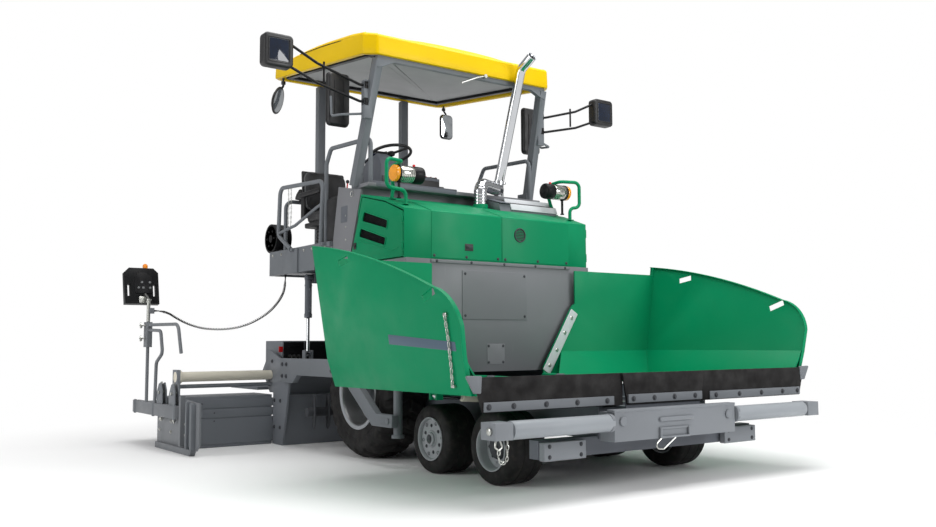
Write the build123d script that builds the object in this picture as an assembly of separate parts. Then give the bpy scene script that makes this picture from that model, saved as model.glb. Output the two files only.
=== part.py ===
from build123d import *
import math
import os

# Asphalt paver on wheels, millimetres.
# Frame: +Z up, -Y is the direction of travel (the hopper), +X is the machine's left.
# Origin: on the ground, in the middle of the machine's length and width.

# ---------------------------------------------------------------- driving dimensions
HALF_LENGTH = 2475.0  # push rollers at the front, walkway edge at the rear
BODY_HALF = 882.0  # half width of hood and tractor body
FIT_GAP = 0.3  # running clearance of pins, spindles and turning pieces
PLATE = 12.0  # usual steel plate

# front wheels: solid tyres on two bogies
FRONT_R = 230.0
FRONT_W = 250.0
FRONT_X = 748.0
FRONT_Y = (-1717.0, -1043.0)
FRONT_RIM_R = 155.0
FRONT_BORE_R = 140.0
KINGPIN_X = 640.0
SPINDLE_R = 30.0

# rear drive wheels
REAR_R = 500.0
REAR_W = 365.0
REAR_X = 677.0
REAR_RIM_R = 270.0
REAR_HUB_R = 140.0
REAR_SPINDLE_R = 60.0

# bogies
BOGIE_X = (490.0, 545.0)
BOGIE_Y = (FRONT_Y[0] + FRONT_Y[1]) / 2
YOKE_Z = (148.0, 168.0, 292.0, 312.0)
KINGPIN_R = 22.0

# frame
RAIL_IN = 440.0
RAIL_OUT = 480.0
RAIL_Z = (300.0, 560.0)
RAIL_FRONT_Y = -2260.0
GUARD_X = (300.0, 318.0)
GUARD_TOP = 585.0
AXLE_PLATE_TOP = 1045.0
REAR_PLATE_Y = 660.0
FLOOR_Z = 470.0
CONVEYOR_Z = FLOOR_Z + PLATE  # the scraper bars drag on the floor plate

# tractor body and hood
WALL_Y = -746.0
WALL_Z = (660.0, 1483.0)
HOOD_CREASE_X = BODY_HALF - 199.0
HOOD_CORNER_Y = -723.0
HOOD_TOP = ((-746.0, 1834.0), (-458.0, 1936.0), (-122.0, 2015.0))  # y, z
HOOD_REAR_FOOT = (92.0, 1483.0)
HOOD_T = 10.0
DOOR_GAP = 8.0
DOOR_T = 14.0
DOOR_HINGE = (BODY_HALF + 7.5, -712.0)  # x, y
DOOR_HINGE_Z = (1545.0, 1745.0)
DOOR_PIN_R = 4.0
KNUCKLE_H = 40.0
BULKHEAD_Y = -40.0
CONSOLE_T = 20.0
EXHAUST_BASE = (100.0, -320.0)
EXHAUST_FOOT_Z = 1992.0
AIR_BOX_X = (190.0, BODY_HALF - 97.0)
LEDGE_Z = 2110.0

# operator's platform
DECK_Z = 1700.0
DECK_Y = (385.0, 1550.0)
DECK_HALF = BODY_HALF + 18.0
RAIL_TUBE_R = 18.0
SIDE_RAIL_X = DECK_HALF + 30.0
SKIRT_Z = 1485.0
COLUMN_TOP = (-300.0, 418.0, 2476.0)
COLUMN_AXIS = (0.0, 38.0, 136.0)
STUB_R = 12.0

# canopy
ROOF_HALF = 930.0
POST_FOOT = (BODY_HALF - 11.0, 20.0, 2100.0)
POST_HEAD = (ROOF_HALF - 108.0, -250.0, 3065.0)
POST_SIZE = (60.0, 78.0)
REAR_POST = (457.0, 1437.0)
ROOF_FRONT = (-300.0, 3084.0)  # y, z of the lower front edge
ROOF_REAR = (1475.0, 3285.0)

# hopper wings
HINGE_X = 330.0
HINGE_Z = 620.0
WING_T = 12.0
WING_FRONT = -2325.0
WING_WALL_Y = -800.0
WING_WALL_PASS = 5.0  # the right wing's rear wall is set back, and passes the left one's when both are folded
WING_REAR = -756.0
WING_FLOOR_Z = 598.0
WING_SIDE = ((1440.0, 575.0), (1500.0, 770.0), (1620.0, 1515.0))  # x, z outside
APRON_Z = (500.0, 690.0)
APRON_Y = (-2337.0, -2325.0)
CENTRE_APRON_Y = (-2354.0, -2342.0)  # the wings' aprons swing behind it
APRON_SPLIT_X = 352.0

# wing cylinders
WING_CYL_Y = -1380.0
WING_CYL_BASE = (520.0, 500.0)  # x, z
WING_CYL_LUG = (1050.0, 540.0)
WING_BARREL = 330.0

# push beam
BEAM_Y = (-2450.0, -2330.0)
BEAM_Z = (300.0, 470.0)
BEAM_HALF = 536.0
BEAM_PIN_Y = -2385.0
ROLLER_R = 50.0
ROLLER_X = (550.0, 1284.0)
ROLLER_Y = -2425.0
ROLLER_Z = 410.0

# screed and tow arms
TOW_Y = -650.0
TOW_Z = 327.0
SCREED_HALF = 900.0
ARM_X = (SCREED_HALF + 20.0, SCREED_HALF + 70.0)
SCREED_Y = (1194.0, 1390.0)
SCREED_TOP = 430.0
LIFT_X = ARM_X[0] - 120.0
LIFT_TOP = (960.0, 1440.0)  # y, z
LIFT_FOOT = (960.0, 790.0)
LIFT_BARREL = 345.0
TUBE_Y = 1452.0
TUBE_Z = 600.0
TUBE_R = 42.0
LOW_TUBE_Z = 520.0
LOW_TUBE_R = 17.0

# screed extensions
EXT_X = (SCREED_HALF + 26.0, 1785.0)
EXT_Y = (1405.0, 1800.0)
END_X = (EXT_X[1], EXT_X[1] + 15.0)
STAND_X = END_X[1] + 50.0
AUGER_Y = 850.0
AUGER_Z = 300.0
AUGER_R = 148.0
AUGER_STUB_R = 22.0

# pins and rods
TOW_BRACKET_Z = (600.0, 640.0)
LIFT_PIN_R = 16.0
WING_PIN_R = 14.0
BEAM_PIN_R = 24.0
HINGE_ROD_R = 10.0
HINGE_ROD_Y = (-2255.0, -800.0)
HINGE_LUGS = ((-2255.0, -2185.0), (-1640.0, -1560.0), (-1060.0, -980.0))
WING_ROD_R = 18.0
LIFT_ROD_R = 14.0
TOW_PIN_R = 20.0
BRACKET_X = ROOF_HALF - 25.0
BRACKET_Z = (2600.0, 2900.0)
SIGN_CENTRE = (1623.0, 2996.0)
LAMP_FOOT_X = BODY_HALF - 79.0  # clear of the air box

VENTS = (  # four corners y, z of each opening in the hood's side door
    ((-150, 1878), (-500, 1776), (-488, 1712), (-120, 1806)),
    ((-100, 1756), (-475, 1648), (-455, 1590), (-72, 1690)),
)
HAND_SLOTS = (  # y, z, turn about X in degrees
    (-1153.0, 1388.0, -9.0),
    (-2060.0, 1138.0, -20.0),
)
WING_KNUCKLES = ((-2175.0, -1650.0), (-1550.0, -1070.0), (-970.0, -815.0))

REMOTE_SIZE = (300.0, 55.0, 330.0)

# remote control's cable, from the gland on its stand to the platform's side box
CABLE_R = 12.0
CABLE_ROUTE = (
    (-1805, 1970, 1170), (-1700, 1970, 1170), (-1600, 1920, 1095), (-1510, 1865, 1045), (-1410, 1800, 1012),
    (-1280, 1710, 1003), (-1150, 1610, 1022), (-1040, 1500, 1080), (-950, 1380, 1170), (-900, 1270, 1290),
    (-900, 1210, 1390), (-900, 1210, SKIRT_Z - 5),
)

SIDES = (("right", -1), ("left", 1))


# ---------------------------------------------------------------- small helpers
def hood_top(y):
    """Height of the hood's top at y."""
    (y0, z0), (y1, z1), (y2, z2) = HOOD_TOP
    if y < y1:
        return z0 + (y - y0) * (z1 - z0) / (y1 - y0)
    return z1 + (y - y1) * (z2 - z1) / (y2 - y1)


def block(x, y, z):
    """Box from three (low, high) pairs."""
    size = (x[1] - x[0], y[1] - y[0], z[1] - z[0])
    centre = ((x[0] + x[1]) / 2, (y[0] + y[1]) / 2, (z[0] + z[1]) / 2)
    return Pos(*centre) * Box(*size)


def rod_x(x, y, z, radius):
    """Cylinder along X between two x values."""
    return Pos((x[0] + x[1]) / 2, y, z) * Rot(0, 90, 0) * Cylinder(radius, abs(x[1] - x[0]))


def rod_y(x, y, z, radius):
    """Cylinder along Y between two y values."""
    return Pos(x, (y[0] + y[1]) / 2, z) * Rot(90, 0, 0) * Cylinder(radius, abs(y[1] - y[0]))


def rod_z(x, y, z, radius):
    """Cylinder along Z between two z values."""
    return Pos(x, y, (z[0] + z[1]) / 2) * Cylinder(radius, abs(z[1] - z[0]))


def rod_between(start, end, radius):
    """Cylinder between two points."""
    a, b = Vector(*start), Vector(*end)
    along = b - a
    plane = Plane(origin=(a + b) * 0.5, z_dir=along)
    return plane * Cylinder(radius, along.length)


def side_plate(points, x):
    """Plate with an outline in the YZ plane, from x[0] to x[1]."""
    outline = Polyline(*[(x[0], y, z) for y, z in points], close=True)
    return extrude(make_face(outline), amount=x[1] - x[0], dir=(1, 0, 0))


def cross_plate(points, y):
    """Plate with an outline in the XZ plane, from y[0] to y[1]."""
    outline = Polyline(*[(x, y[0], z) for x, z in points], close=True)
    return extrude(make_face(outline), amount=y[1] - y[0], dir=(0, 1, 0))


def flat_plate(points, z):
    """Plate with an outline in the XY plane, from z[0] to z[1]."""
    outline = Polyline(*[(x, y, z[0]) for x, y in points], close=True)
    return extrude(make_face(outline), amount=z[1] - z[0], dir=(0, 0, 1))


def tube(points, radius, bend):
    """Round bar along straight runs joined by arcs of one bend radius."""
    path = FilletPolyline(*points, radius=bend)
    section = Plane(origin=path @ 0, z_dir=path % 0) * Circle(radius)
    return sweep(section, path=path)


def mirrored(shape):
    """The same piece on the other side of the machine."""
    return mirror(shape, about=Plane.YZ)


def on_side(shape, side):
    """A piece drawn on the left, put on the left (1) or the right (-1)."""
    return shape if side > 0 else mirrored(shape)


def both(shape):
    """A left piece and its mirror as two solids of one node."""
    return Compound(children=[*shape.solids(), *mirrored(shape).solids()])


def ring_profile_x(points, x, y, z):
    """Turned piece about an X axis through y, z; points are (x offset, radius)."""
    outline = Polyline(*[(px, 0, pr) for px, pr in points], close=True)
    turned = revolve(make_face(outline), axis=Axis.X, revolution_arc=360)
    return Pos(x, y, z) * turned


# ---------------------------------------------------------------- chassis
def main_frame():
    """Side rails, conveyor floor, cross beams, the nose that carries the push beam, and brackets."""
    left = block((RAIL_IN, RAIL_OUT), (RAIL_FRONT_Y, REAR_PLATE_Y), RAIL_Z)
    left += block((RAIL_IN, RAIL_OUT), (WALL_Y + PLATE, REAR_PLATE_Y), (RAIL_Z[0], AXLE_PLATE_TOP))
    left += block((RAIL_IN, RAIL_OUT), (REAR_PLATE_Y, 1000), (FLOOR_Z + 10, AXLE_PLATE_TOP))
    left += block((RAIL_OUT, ARM_X[0] + 5), (TOW_Y - 45, TOW_Y + 45), TOW_BRACKET_Z)
    left += rod_x((RAIL_OUT, BOGIE_X[0]), BOGIE_Y, FRONT_R, 55)
    left += rod_x((RAIL_IN, RAIL_OUT), BOGIE_Y, FRONT_R, 55)
    left += block((RAIL_IN, RAIL_OUT), (BOGIE_Y - 60, BOGIE_Y + 60), (FRONT_R - 55, RAIL_Z[0]))
    left += lift_bracket() + wing_cylinder_ears() + wing_hinge_rod()
    frame = left + mirrored(left)
    frame += block((-RAIL_OUT, RAIL_OUT), (RAIL_FRONT_Y, 690), (FLOOR_Z, FLOOR_Z + PLATE))
    frame += block((-22, 22), (RAIL_FRONT_Y, 690), (FLOOR_Z, CONVEYOR_Z + 40))
    frame += block((-RAIL_OUT, RAIL_OUT), (RAIL_FRONT_Y, RAIL_FRONT_Y + 60), (RAIL_Z[0], FLOOR_Z))
    frame += block((-940, 940), (RAIL_FRONT_Y + 10, RAIL_FRONT_Y + 90), (212, 318))
    return frame + nose() + auger_gearcase()


def nose():
    """Tongue and vertical pin of the push beam, and the lip that carries the centre apron."""
    tongue = block((-80, 80), (BEAM_PIN_Y - 34, RAIL_FRONT_Y), (368, 402))
    tongue += rod_z(0, BEAM_PIN_Y, (BEAM_Z[0] + 14, BEAM_Z[1] - 14), BEAM_PIN_R)
    lip_front = CENTRE_APRON_Y[1]
    tongue += block((-330, 330), (lip_front, RAIL_FRONT_Y + 20), (FLOOR_Z + 8, FLOOR_Z + PLATE + 8))
    tongue += block((-330, 330), (lip_front, lip_front + 10), (FLOOR_Z + 8, 640))
    return tongue


def auger_gearcase():
    """Gearcase between the two augers, hung from a rear cross member."""
    case = block((-RAIL_IN, RAIL_IN), (700, 760), (AXLE_PLATE_TOP - 60, AXLE_PLATE_TOP))
    case += block((-48, 48), (705, 760), (AUGER_Z - 60, AXLE_PLATE_TOP))
    case += block((-48, 48), (705, AUGER_Y + 60), (AUGER_Z - 60, AUGER_Z + 60))
    return case + rod_x((-200, 200), AUGER_Y, AUGER_Z, AUGER_STUB_R)


def lift_bracket():
    """Arm and pin that carry the screed lift cylinder's barrel eye."""
    y, z = LIFT_TOP
    bracket = block((RAIL_OUT, LIFT_X - 40), (y - 40, y + 35), (z - 45, z + 35))
    bracket += block((RAIL_IN, RAIL_OUT + 40), (y - 40, 1000), (900, z + 35))
    return bracket + rod_x((LIFT_X - 41, LIFT_X + 26), y, z, LIFT_PIN_R)


def wing_cylinder_ears():
    """Two ears and the pin of a wing cylinder's barrel eye."""
    x, z = WING_CYL_BASE
    ears = rod_y(x, (WING_CYL_Y - 44, WING_CYL_Y + 44), z, WING_PIN_R)
    for low in (WING_CYL_Y - 44, WING_CYL_Y + 30):
        ears += block((RAIL_OUT, x + 20), (low, low + 14), (z - 30, z + 30))
    return ears


def wing_hinge_rod():
    """Chain guard with the lugs and the rod that the wing turns on."""
    hinge = block(GUARD_X, (RAIL_FRONT_Y, WALL_Y - 10), (FLOOR_Z, GUARD_TOP))
    hinge += rod_y(HINGE_X, (HINGE_ROD_Y[0], HINGE_ROD_Y[1]), HINGE_Z, HINGE_ROD_R)
    for low, high in HINGE_LUGS:
        hinge += block((GUARD_X[0], HINGE_X), (low, high), (GUARD_TOP - 20, HINGE_Z + 12))
        hinge += rod_y(HINGE_X, (low, high), HINGE_Z, 20)
    return hinge


def bogie_beams():
    """Beam of each bogie with the yokes and kingpins of its two wheels."""
    low, high = FRONT_Y
    beam = block(BOGIE_X, (low - 60, high + 60), (YOKE_Z[0], YOKE_Z[3]))
    for y in FRONT_Y:
        for z in (YOKE_Z[:2], YOKE_Z[2:]):
            beam += block((BOGIE_X[0], KINGPIN_X), (y - 32, y + 32), z)
            beam += rod_z(KINGPIN_X, y, z, 32)
        beam += rod_z(KINGPIN_X, y, (YOKE_Z[0], YOKE_Z[3]), KINGPIN_R)
    return both(beam)


def knuckle(side, y):
    """Steering knuckle on its kingpin, with the spindle that carries the wheel."""
    gap = 1.0
    body = rod_z(KINGPIN_X, y, (YOKE_Z[1] + gap, YOKE_Z[2] - gap), 42)
    body += block((KINGPIN_X, KINGPIN_X + 62), (y - 36, y + 36), (FRONT_R - 50, FRONT_R + 50))
    body += rod_x((KINGPIN_X + 60, FRONT_X + 104), y, FRONT_R, SPINDLE_R)
    body -= rod_z(KINGPIN_X, y, (0, 460), KINGPIN_R + FIT_GAP)
    return on_side(body, side)


def front_wheel(side, y):
    """Solid tyre vulcanised on its dished wheel, one piece."""
    half = FRONT_W / 2
    tyre = ring_profile_x(
        (
            (-half, FRONT_BORE_R), (-half, FRONT_R - 22), (-half + 20, FRONT_R),
            (half - 20, FRONT_R), (half, FRONT_R - 22), (half, FRONT_BORE_R),
        ),
        FRONT_X, y, FRONT_R,
    )
    disc = rod_x((FRONT_X + half - 30, FRONT_X + half - 8), y, FRONT_R, FRONT_BORE_R + 2)
    hub = rod_x((FRONT_X - 30, FRONT_X + half - 10), y, FRONT_R, 72)
    wheel = tyre + disc + hub
    wheel -= rod_x((FRONT_X - 60, FRONT_X + 108), y, FRONT_R, SPINDLE_R + FIT_GAP)
    return on_side(wheel, side)


def rear_drives():
    """Final drives on the frame plates, with the spindles that carry the rear wheels."""
    drive = rod_x((RAIL_OUT, REAR_X - 10), 0, REAR_R, REAR_HUB_R)
    drive += rod_x((REAR_X - 10, REAR_X + 60), 0, REAR_R, REAR_SPINDLE_R)
    return both(drive)


def rear_rim(side):
    """Turned rim of a rear wheel with its dished disc."""
    half = REAR_W / 2 - 12
    disc = 8
    barrel = ring_profile_x(
        (
            (-half, REAR_RIM_R - 22), (-half, REAR_RIM_R), (half, REAR_RIM_R), (half, REAR_RIM_R - 22),
            (disc + 22, REAR_RIM_R - 36), (disc + 22, REAR_SPINDLE_R + FIT_GAP),
            (disc - 16, REAR_SPINDLE_R + FIT_GAP), (disc - 16, REAR_RIM_R - 36),
        ),
        REAR_X, 0, REAR_R,
    )
    return on_side(barrel, side)


def rear_tyre(side):
    """Tyre of a rear wheel, seated on the rim."""
    half = REAR_W / 2
    tyre = ring_profile_x(
        (
            (-half + 30, REAR_RIM_R), (-half, REAR_RIM_R + 90), (-half + 8, REAR_R - 60),
            (-half + 45, REAR_R - 8), (-60, REAR_R), (60, REAR_R), (half - 45, REAR_R - 8),
            (half - 8, REAR_R - 60), (half, REAR_RIM_R + 90), (half - 30, REAR_RIM_R),
        ),
        REAR_X, 0, REAR_R,
    )
    return on_side(tyre, side)


def conveyor():
    """Two chains with scraper bars on each side of the centre divider."""
    bars = None
    for index in range(20):
        y = RAIL_FRONT_Y + 70 + index * 147
        bar = block((30, GUARD_X[0] - 8), (y, y + 34), (CONVEYOR_Z, CONVEYOR_Z + 22))
        bars = bar if bars is None else bars + bar
    run = (RAIL_FRONT_Y + 60, 680)
    for x in (44, GUARD_X[0] - 50):
        bars += block((x, x + 26), run, (CONVEYOR_Z, CONVEYOR_Z + 16))
    return both(bars)


# ---------------------------------------------------------------- tractor body
def tractor_body():
    """Grey housing behind the hopper: walls, wheel-arch floor, side consoles, bulkhead, tank."""
    top = WALL_Z[1]
    under_deck = DECK_Z - 40
    body = block((-BODY_HALF, BODY_HALF), (WALL_Y, WALL_Y + PLATE), (AXLE_PLATE_TOP, top))
    body += block((-HOOD_CREASE_X, HOOD_CREASE_X), (WALL_Y, WALL_Y + PLATE), (WALL_Z[0], top))
    left = block((RAIL_IN, BODY_HALF), (WALL_Y, 380), (AXLE_PLATE_TOP, AXLE_PLATE_TOP + PLATE))
    left += block((BODY_HALF - PLATE, BODY_HALF), (WALL_Y, 380), (AXLE_PLATE_TOP, top))
    foot = HOOD_REAR_FOOT[0] + DOOR_GAP
    console = ((-98, 2057), (270, 2128), (357, 1707), (357, top), (foot, top))
    left += side_plate(console, (BODY_HALF - CONSOLE_T, BODY_HALF))
    left += block((RAIL_OUT, BODY_HALF), (368, 380), (AXLE_PLATE_TOP, under_deck))
    body += left + mirrored(left)
    body += block((-RAIL_OUT, RAIL_OUT), (368, 380), (AXLE_PLATE_TOP, under_deck))
    body += tank(under_deck)
    edge = BODY_HALF - CONSOLE_T
    body += block((-edge, edge), (BULKHEAD_Y - 10, BULKHEAD_Y), (top - 20, LEDGE_Z))
    body += block((-edge, edge), (BULKHEAD_Y - 130, BULKHEAD_Y), (LEDGE_Z - 30, LEDGE_Z))
    return body


def tank(under_deck):
    """Fuel and oil tank below the deck, a hollow box."""
    front, rear, wall = 380, 905, 20
    whole = block((-RAIL_OUT, RAIL_OUT), (front, rear), (AXLE_PLATE_TOP, under_deck))
    inside = (AXLE_PLATE_TOP + wall, under_deck - wall)
    return whole - block((wall - RAIL_OUT, RAIL_OUT - wall), (front + wall, rear - wall), inside)


def engine():
    """Engine and pump drive as one block on its mounts."""
    core = block((-340, 340), (-560, 300), (AXLE_PLATE_TOP + 90, WALL_Z[1] - 40))
    feet = None
    for x in (-300, 220):
        for y in (-520, 200):
            foot = block((x, x + 80), (y, y + 80), (AXLE_PLATE_TOP - 60, AXLE_PLATE_TOP + 90))
            feet = foot if feet is None else feet + foot
    beams = block((-RAIL_IN, RAIL_IN), (-540, -420), (AXLE_PLATE_TOP - 100, AXLE_PLATE_TOP - 60))
    beams += block((-RAIL_IN, RAIL_IN), (180, 300), (AXLE_PLATE_TOP - 100, AXLE_PLATE_TOP - 60))
    return core + feet + beams


def hood_outline(inset):
    """Hood section in the YZ plane, moved in by a wall thickness."""
    (y0, z0), (y1, z1), (y2, z2) = HOOD_TOP
    foot = WALL_Z[1]
    back = BULKHEAD_Y - 12
    return (
        (y0 + inset, foot - inset), (y0 + inset, z0 - inset), (y1 + inset * 0.3, z1 - inset),
        (y2, z2 - inset), (back + inset, z2 + 12 - inset), (back + inset, foot - inset),
    )


def hood():
    """Green hood: front fascia, folded corners, sloping top and the collar of the exhaust."""
    outside = side_plate(hood_outline(0), (-BODY_HALF, BODY_HALF)) - hood_corners(0)
    room = side_plate(hood_outline(HOOD_T), (40 - BODY_HALF, BODY_HALF - 40)) - hood_corners(HOOD_T)
    shell = outside - room
    bay = side_plate(door_outline(-DOOR_GAP), (BODY_HALF - 60, BODY_HALF + 10))
    shell -= bay + mirrored(bay)
    rear_y, rear_z = HOOD_REAR_FOOT
    behind = ((-116, 2060), (rear_y, rear_z - 5), (200, rear_z - 5), (200, 2060))
    rear = side_plate(behind, (BODY_HALF - CONSOLE_T - 1, BODY_HALF + 5))
    shell -= rear + mirrored(rear)
    collar = rod_z(*EXHAUST_BASE, (1955, EXHAUST_FOOT_Z), 60)
    lugs = door_hinge_lugs()
    return shell + collar + lugs + mirrored(lugs)


def hood_corners(inset):
    """Wedges in front of the folded corners' slanting facets, moved in by a wall thickness."""
    wide = BODY_HALF + 5
    ahead = WALL_Y - 5
    corner = (
        (HOOD_CREASE_X, WALL_Y + inset), (wide, HOOD_CORNER_Y + inset), (wide, ahead), (HOOD_CREASE_X, ahead),
    )
    bevel = flat_plate(corner, (1400, 2200))
    return bevel + mirrored(bevel)


def door_hinge_lugs():
    """Lugs and pins on the hood's corner that the left side door turns on."""
    x, y = DOOR_HINGE
    lugs = None
    for z in DOOR_HINGE_Z:
        pin = rod_z(x, y, (z - 12, z + KNUCKLE_H + 12), DOOR_PIN_R)
        for low in (z - 12, z + KNUCKLE_H + 1):
            pin += rod_z(x, y, (low, low + 11), 7)
            pin += block((BODY_HALF - 10, x), (y - 10, y - 1), (low, low + 11))
        lugs = pin if lugs is None else lugs + pin
    return lugs


def door_outline(inset):
    """Outline of the hood's side door in the YZ plane."""
    (y0, z0), (y1, z1), (y2, z2) = HOOD_TOP
    top = 22
    front = HOOD_CORNER_Y + 14
    foot = WALL_Z[1] + 10
    rear_y = HOOD_REAR_FOOT[0]
    return (
        (front + inset, foot + inset), (front + inset, z0 - top + 6 - inset), (y1, z1 - top - inset),
        (y2 + 2 - inset, z2 - top - inset), (rear_y - 14 - inset, foot + inset),
    )


def hood_door(side):
    """Side door with two vent openings, hinged at its front edge."""
    panel = side_plate(door_outline(0), (BODY_HALF - DOOR_T, BODY_HALF))
    for corners in VENTS:
        panel -= side_plate(corners, (BODY_HALF - 60, BODY_HALF + 10))
    x, y = DOOR_HINGE
    for z in DOOR_HINGE_Z:
        panel += rod_z(x, y, (z, z + KNUCKLE_H), 7)
        panel += block((BODY_HALF - 4, x), (y, y + 14), (z, z + KNUCKLE_H))
        panel -= rod_z(x, y, (z - 1, z + KNUCKLE_H + 1), DOOR_PIN_R + FIT_GAP)
    return on_side(panel, side)


def air_box():
    """Cooling-air outlet box with louvre blades, on the left half of the hood top."""
    foot = [(y, hood_top(y)) for y in (-470, HOOD_TOP[1][0], -185)]
    outline = (*foot, (-190, 2058), (-300, 2046), (-452, 1996))
    box = side_plate(outline, AIR_BOX_X)
    opening = (AIR_BOX_X[0] + 110, AIR_BOX_X[1] - 18)
    box -= side_plate(((-436, 1962), (-436, 2100), (-205, 2100), (-205, 2022)), opening)
    for index in range(3):
        y = -420 + index * 76
        z = 1974 + index * 19
        blade = ((y, z), (y + 8, z - 4), (y + 68, z + 34), (y + 62, z + 40))
        box += side_plate(blade, opening)
    return box


def exhaust():
    """Chrome stack: fat elbow out of the hood, leaning pipe and a bent open tip."""
    x, y = EXHAUST_BASE
    foot = (452, -112)
    elbow = tube(((x, y, EXHAUST_FOOT_Z), (x, y, 2168), (foot[0] - 8, foot[1] - 6, 2172)), 50, 85)
    stack = tube(((*foot, LEDGE_Z), (*foot, 2225), (490, -382, 3165), (502, -515, 3250)), 41, 75)
    bore = rod_between((497, -460, 3215), (506, -560, 3279), 36)
    return elbow + stack - bore


# ---------------------------------------------------------------- operator's place
def platform():
    """Deck with skirts, side boxes, handrails and a rear step."""
    deck = block((-DECK_HALF, DECK_HALF), DECK_Y, (DECK_Z - 40, DECK_Z))
    inner = BODY_HALF - CONSOLE_T - 2
    deck += block((-inner, inner), (BULKHEAD_Y + 2, DECK_Y[0]), (DECK_Z - 40, DECK_Z))
    left = block((DECK_HALF - 40, DECK_HALF), (650, DECK_Y[1]), (SKIRT_Z, DECK_Z))
    left += block((DECK_HALF - 200, DECK_HALF + 15), (950, 1230), (SKIRT_Z - 5, DECK_Z - 10))
    for y in (440, 1010):
        left += block((DECK_HALF - 20, SIDE_RAIL_X + 5), (y, y + 75), (DECK_Z - 30, DECK_Z - 5))
    left += side_rails() + front_rail() + rear_rail()
    whole = deck + left + mirrored(left)
    rear = DECK_Y[1]
    whole += block((-DECK_HALF, DECK_HALF), (rear - 20, rear), (SKIRT_Z, DECK_Z))
    whole += block((-260, 260), (rear, rear + 180), (1440, 1465))
    for x in (-260, 248):
        whole += block((x, x + 12), (rear, rear + 180), (1440, 1560))
    return whole


def side_rails():
    """Rail loop outside the deck with its middle rail."""
    x = SIDE_RAIL_X
    foot = DECK_Z - 10
    loop = ((x, 1045, foot), (x, 1300, 1830), (x, 1270, 2250), (x, 445, 2200), (x, 480, foot))
    middle = ((x, 1285, 1850), (x, 960, 1885), (x, 560, 1990), (x, 465, 2010))
    return tube(loop, RAIL_TUBE_R, 70) + tube(middle, 13, 60)


def front_rail():
    """Tall loop beside the canopy post, from the deck to the bulkhead's ledge."""
    x = DECK_HALF - 100
    points = ((x, 640, DECK_Z - 10), (x, 640, 2380), (x, 560, 2500), (x, -100, 2470), (x, -100, LEDGE_Z))
    return tube(points, RAIL_TUBE_R, 60)


def rear_rail():
    """Loop across the rear edge of the deck."""
    y = DECK_Y[1] - 30
    foot = DECK_Z - 10
    x = DECK_HALF - 140
    points = ((x, y, foot), (x, y, 2180), (300, y, 2180), (300, y, foot))
    return tube(points, RAIL_TUBE_R, 70)


def hose_reel():
    """Spray-hose drum behind the platform's right rear corner."""
    rear = DECK_Y[1]
    outer = DECK_HALF - 70
    drum = rod_x((-outer, 150 - outer), rear + 140, 1845, 135)
    return drum + block((50 - outer, 100 - outer), (rear, rear + 150), (1640, 1740))


def console():
    """Steering console with a sloping dash, side cabinet and steering column."""
    outline = ((150, DECK_Z), (150, 2330), (210, 2440), (410, 2380), (470, 2300), (350, DECK_Z))
    box = side_plate(outline, (-560, 20))
    cabinet = block((100 - DECK_HALF, -560), (300, 620), (DECK_Z, 2080))
    column = rod_between((-300, 380, 2340), COLUMN_TOP, 26)
    stub = Plane(origin=COLUMN_TOP, z_dir=COLUMN_AXIS) * Pos(0, 0, 12) * Cylinder(STUB_R, 24)
    return box + cabinet + column + stub


def steering_wheel():
    """Rim, three spokes and hub on the column's end."""
    wheel_plane = Plane(origin=COLUMN_TOP, z_dir=COLUMN_AXIS)
    wheel = Torus(172, 13) + Cylinder(34, 26)
    for angle in (90, 210, 330):
        wheel += Rot(0, 0, angle) * Pos(95, 0, 0) * Box(140, 26, 12)
    wheel -= Cylinder(STUB_R + FIT_GAP, 60)
    return wheel_plane * (Pos(0, 0, 15) * wheel)


def seats():
    """Two seats on pedestals: cushion, backrest and arm rests."""
    x, y = DECK_HALF - 340, 900
    seat = block((x - 150, x + 150), (y - 150, y + 150), (DECK_Z, 1925))
    seat += block((x - 235, x + 235), (y - 230, y + 230), (1925, 2030))
    back = ((y + 190, 2000), (y + 150, 2030), (y + 215, 2420), (y + 300, 2410), (y + 270, 1960))
    seat += side_plate(back, (x - 225, x + 225))
    for ax in (x - 270, x + 225):
        seat += block((ax, ax + 45), (y - 180, y + 235), (2150, 2195))
        seat += block((ax, ax + 45), (y + 120, y + 200), (1960, 2195))
    return both(seat)


# ---------------------------------------------------------------- canopy
def roof_line(y):
    """Height of the roof's lower edge at y."""
    (y0, z0), (y1, z1) = ROOF_FRONT, ROOF_REAR
    return z0 + (y - y0) * (z1 - z0) / (y1 - y0)


def canopy_roof():
    """Moulded roof: side-on section across the width, crowned, bevelled, hollow below."""
    (y0, z0), (y1, z1) = ROOF_FRONT, ROOF_REAR
    front = ((y0, z0), (y0 + 20, z0 + 170), (y0 + 170, z0 + 225))
    section = (*front, (500, 3375), (1250, 3400), (y1 - 40, z1 + 105), (y1, z1))
    shell = side_plate(section, (-ROOF_HALF, ROOF_HALF)) - roof_corner_cuts()
    ceiling = ((y0 + 70, z0 + 150), (y0 + 200, z0 + 190), (500, 3335), (1250, 3360), (y1 - 80, z1 + 65))
    room = ((y0 + 70, z0 - 60), *ceiling, (y1 - 60, z1 - 60))
    return shell - side_plate(room, (60 - ROOF_HALF, ROOF_HALF - 60))


def roof_corner_cuts():
    """Wedges that bevel the roof's long side edges and its corners in plan."""
    (y0, z0), (y1, z1) = ROOF_FRONT, ROOF_REAR
    edge = ROOF_HALF
    rim = ((edge, 3245), (edge + 60, 3245), (edge + 60, 3500), (edge - 190, 3500), (edge - 60, 3390))
    slope = cross_plate(rim, (y0 - 50, y1 + 50))
    corner = flat_plate(((edge - 70, y0 - 5), (edge + 5, y0 - 5), (edge + 5, y0 + 90)), (2900, 3600))
    rear = flat_plate(((edge - 60, y1 + 5), (edge + 5, y1 + 5), (edge + 5, y1 - 60)), (2900, 3600))
    left = slope + corner + rear
    return left + mirrored(left)


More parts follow.
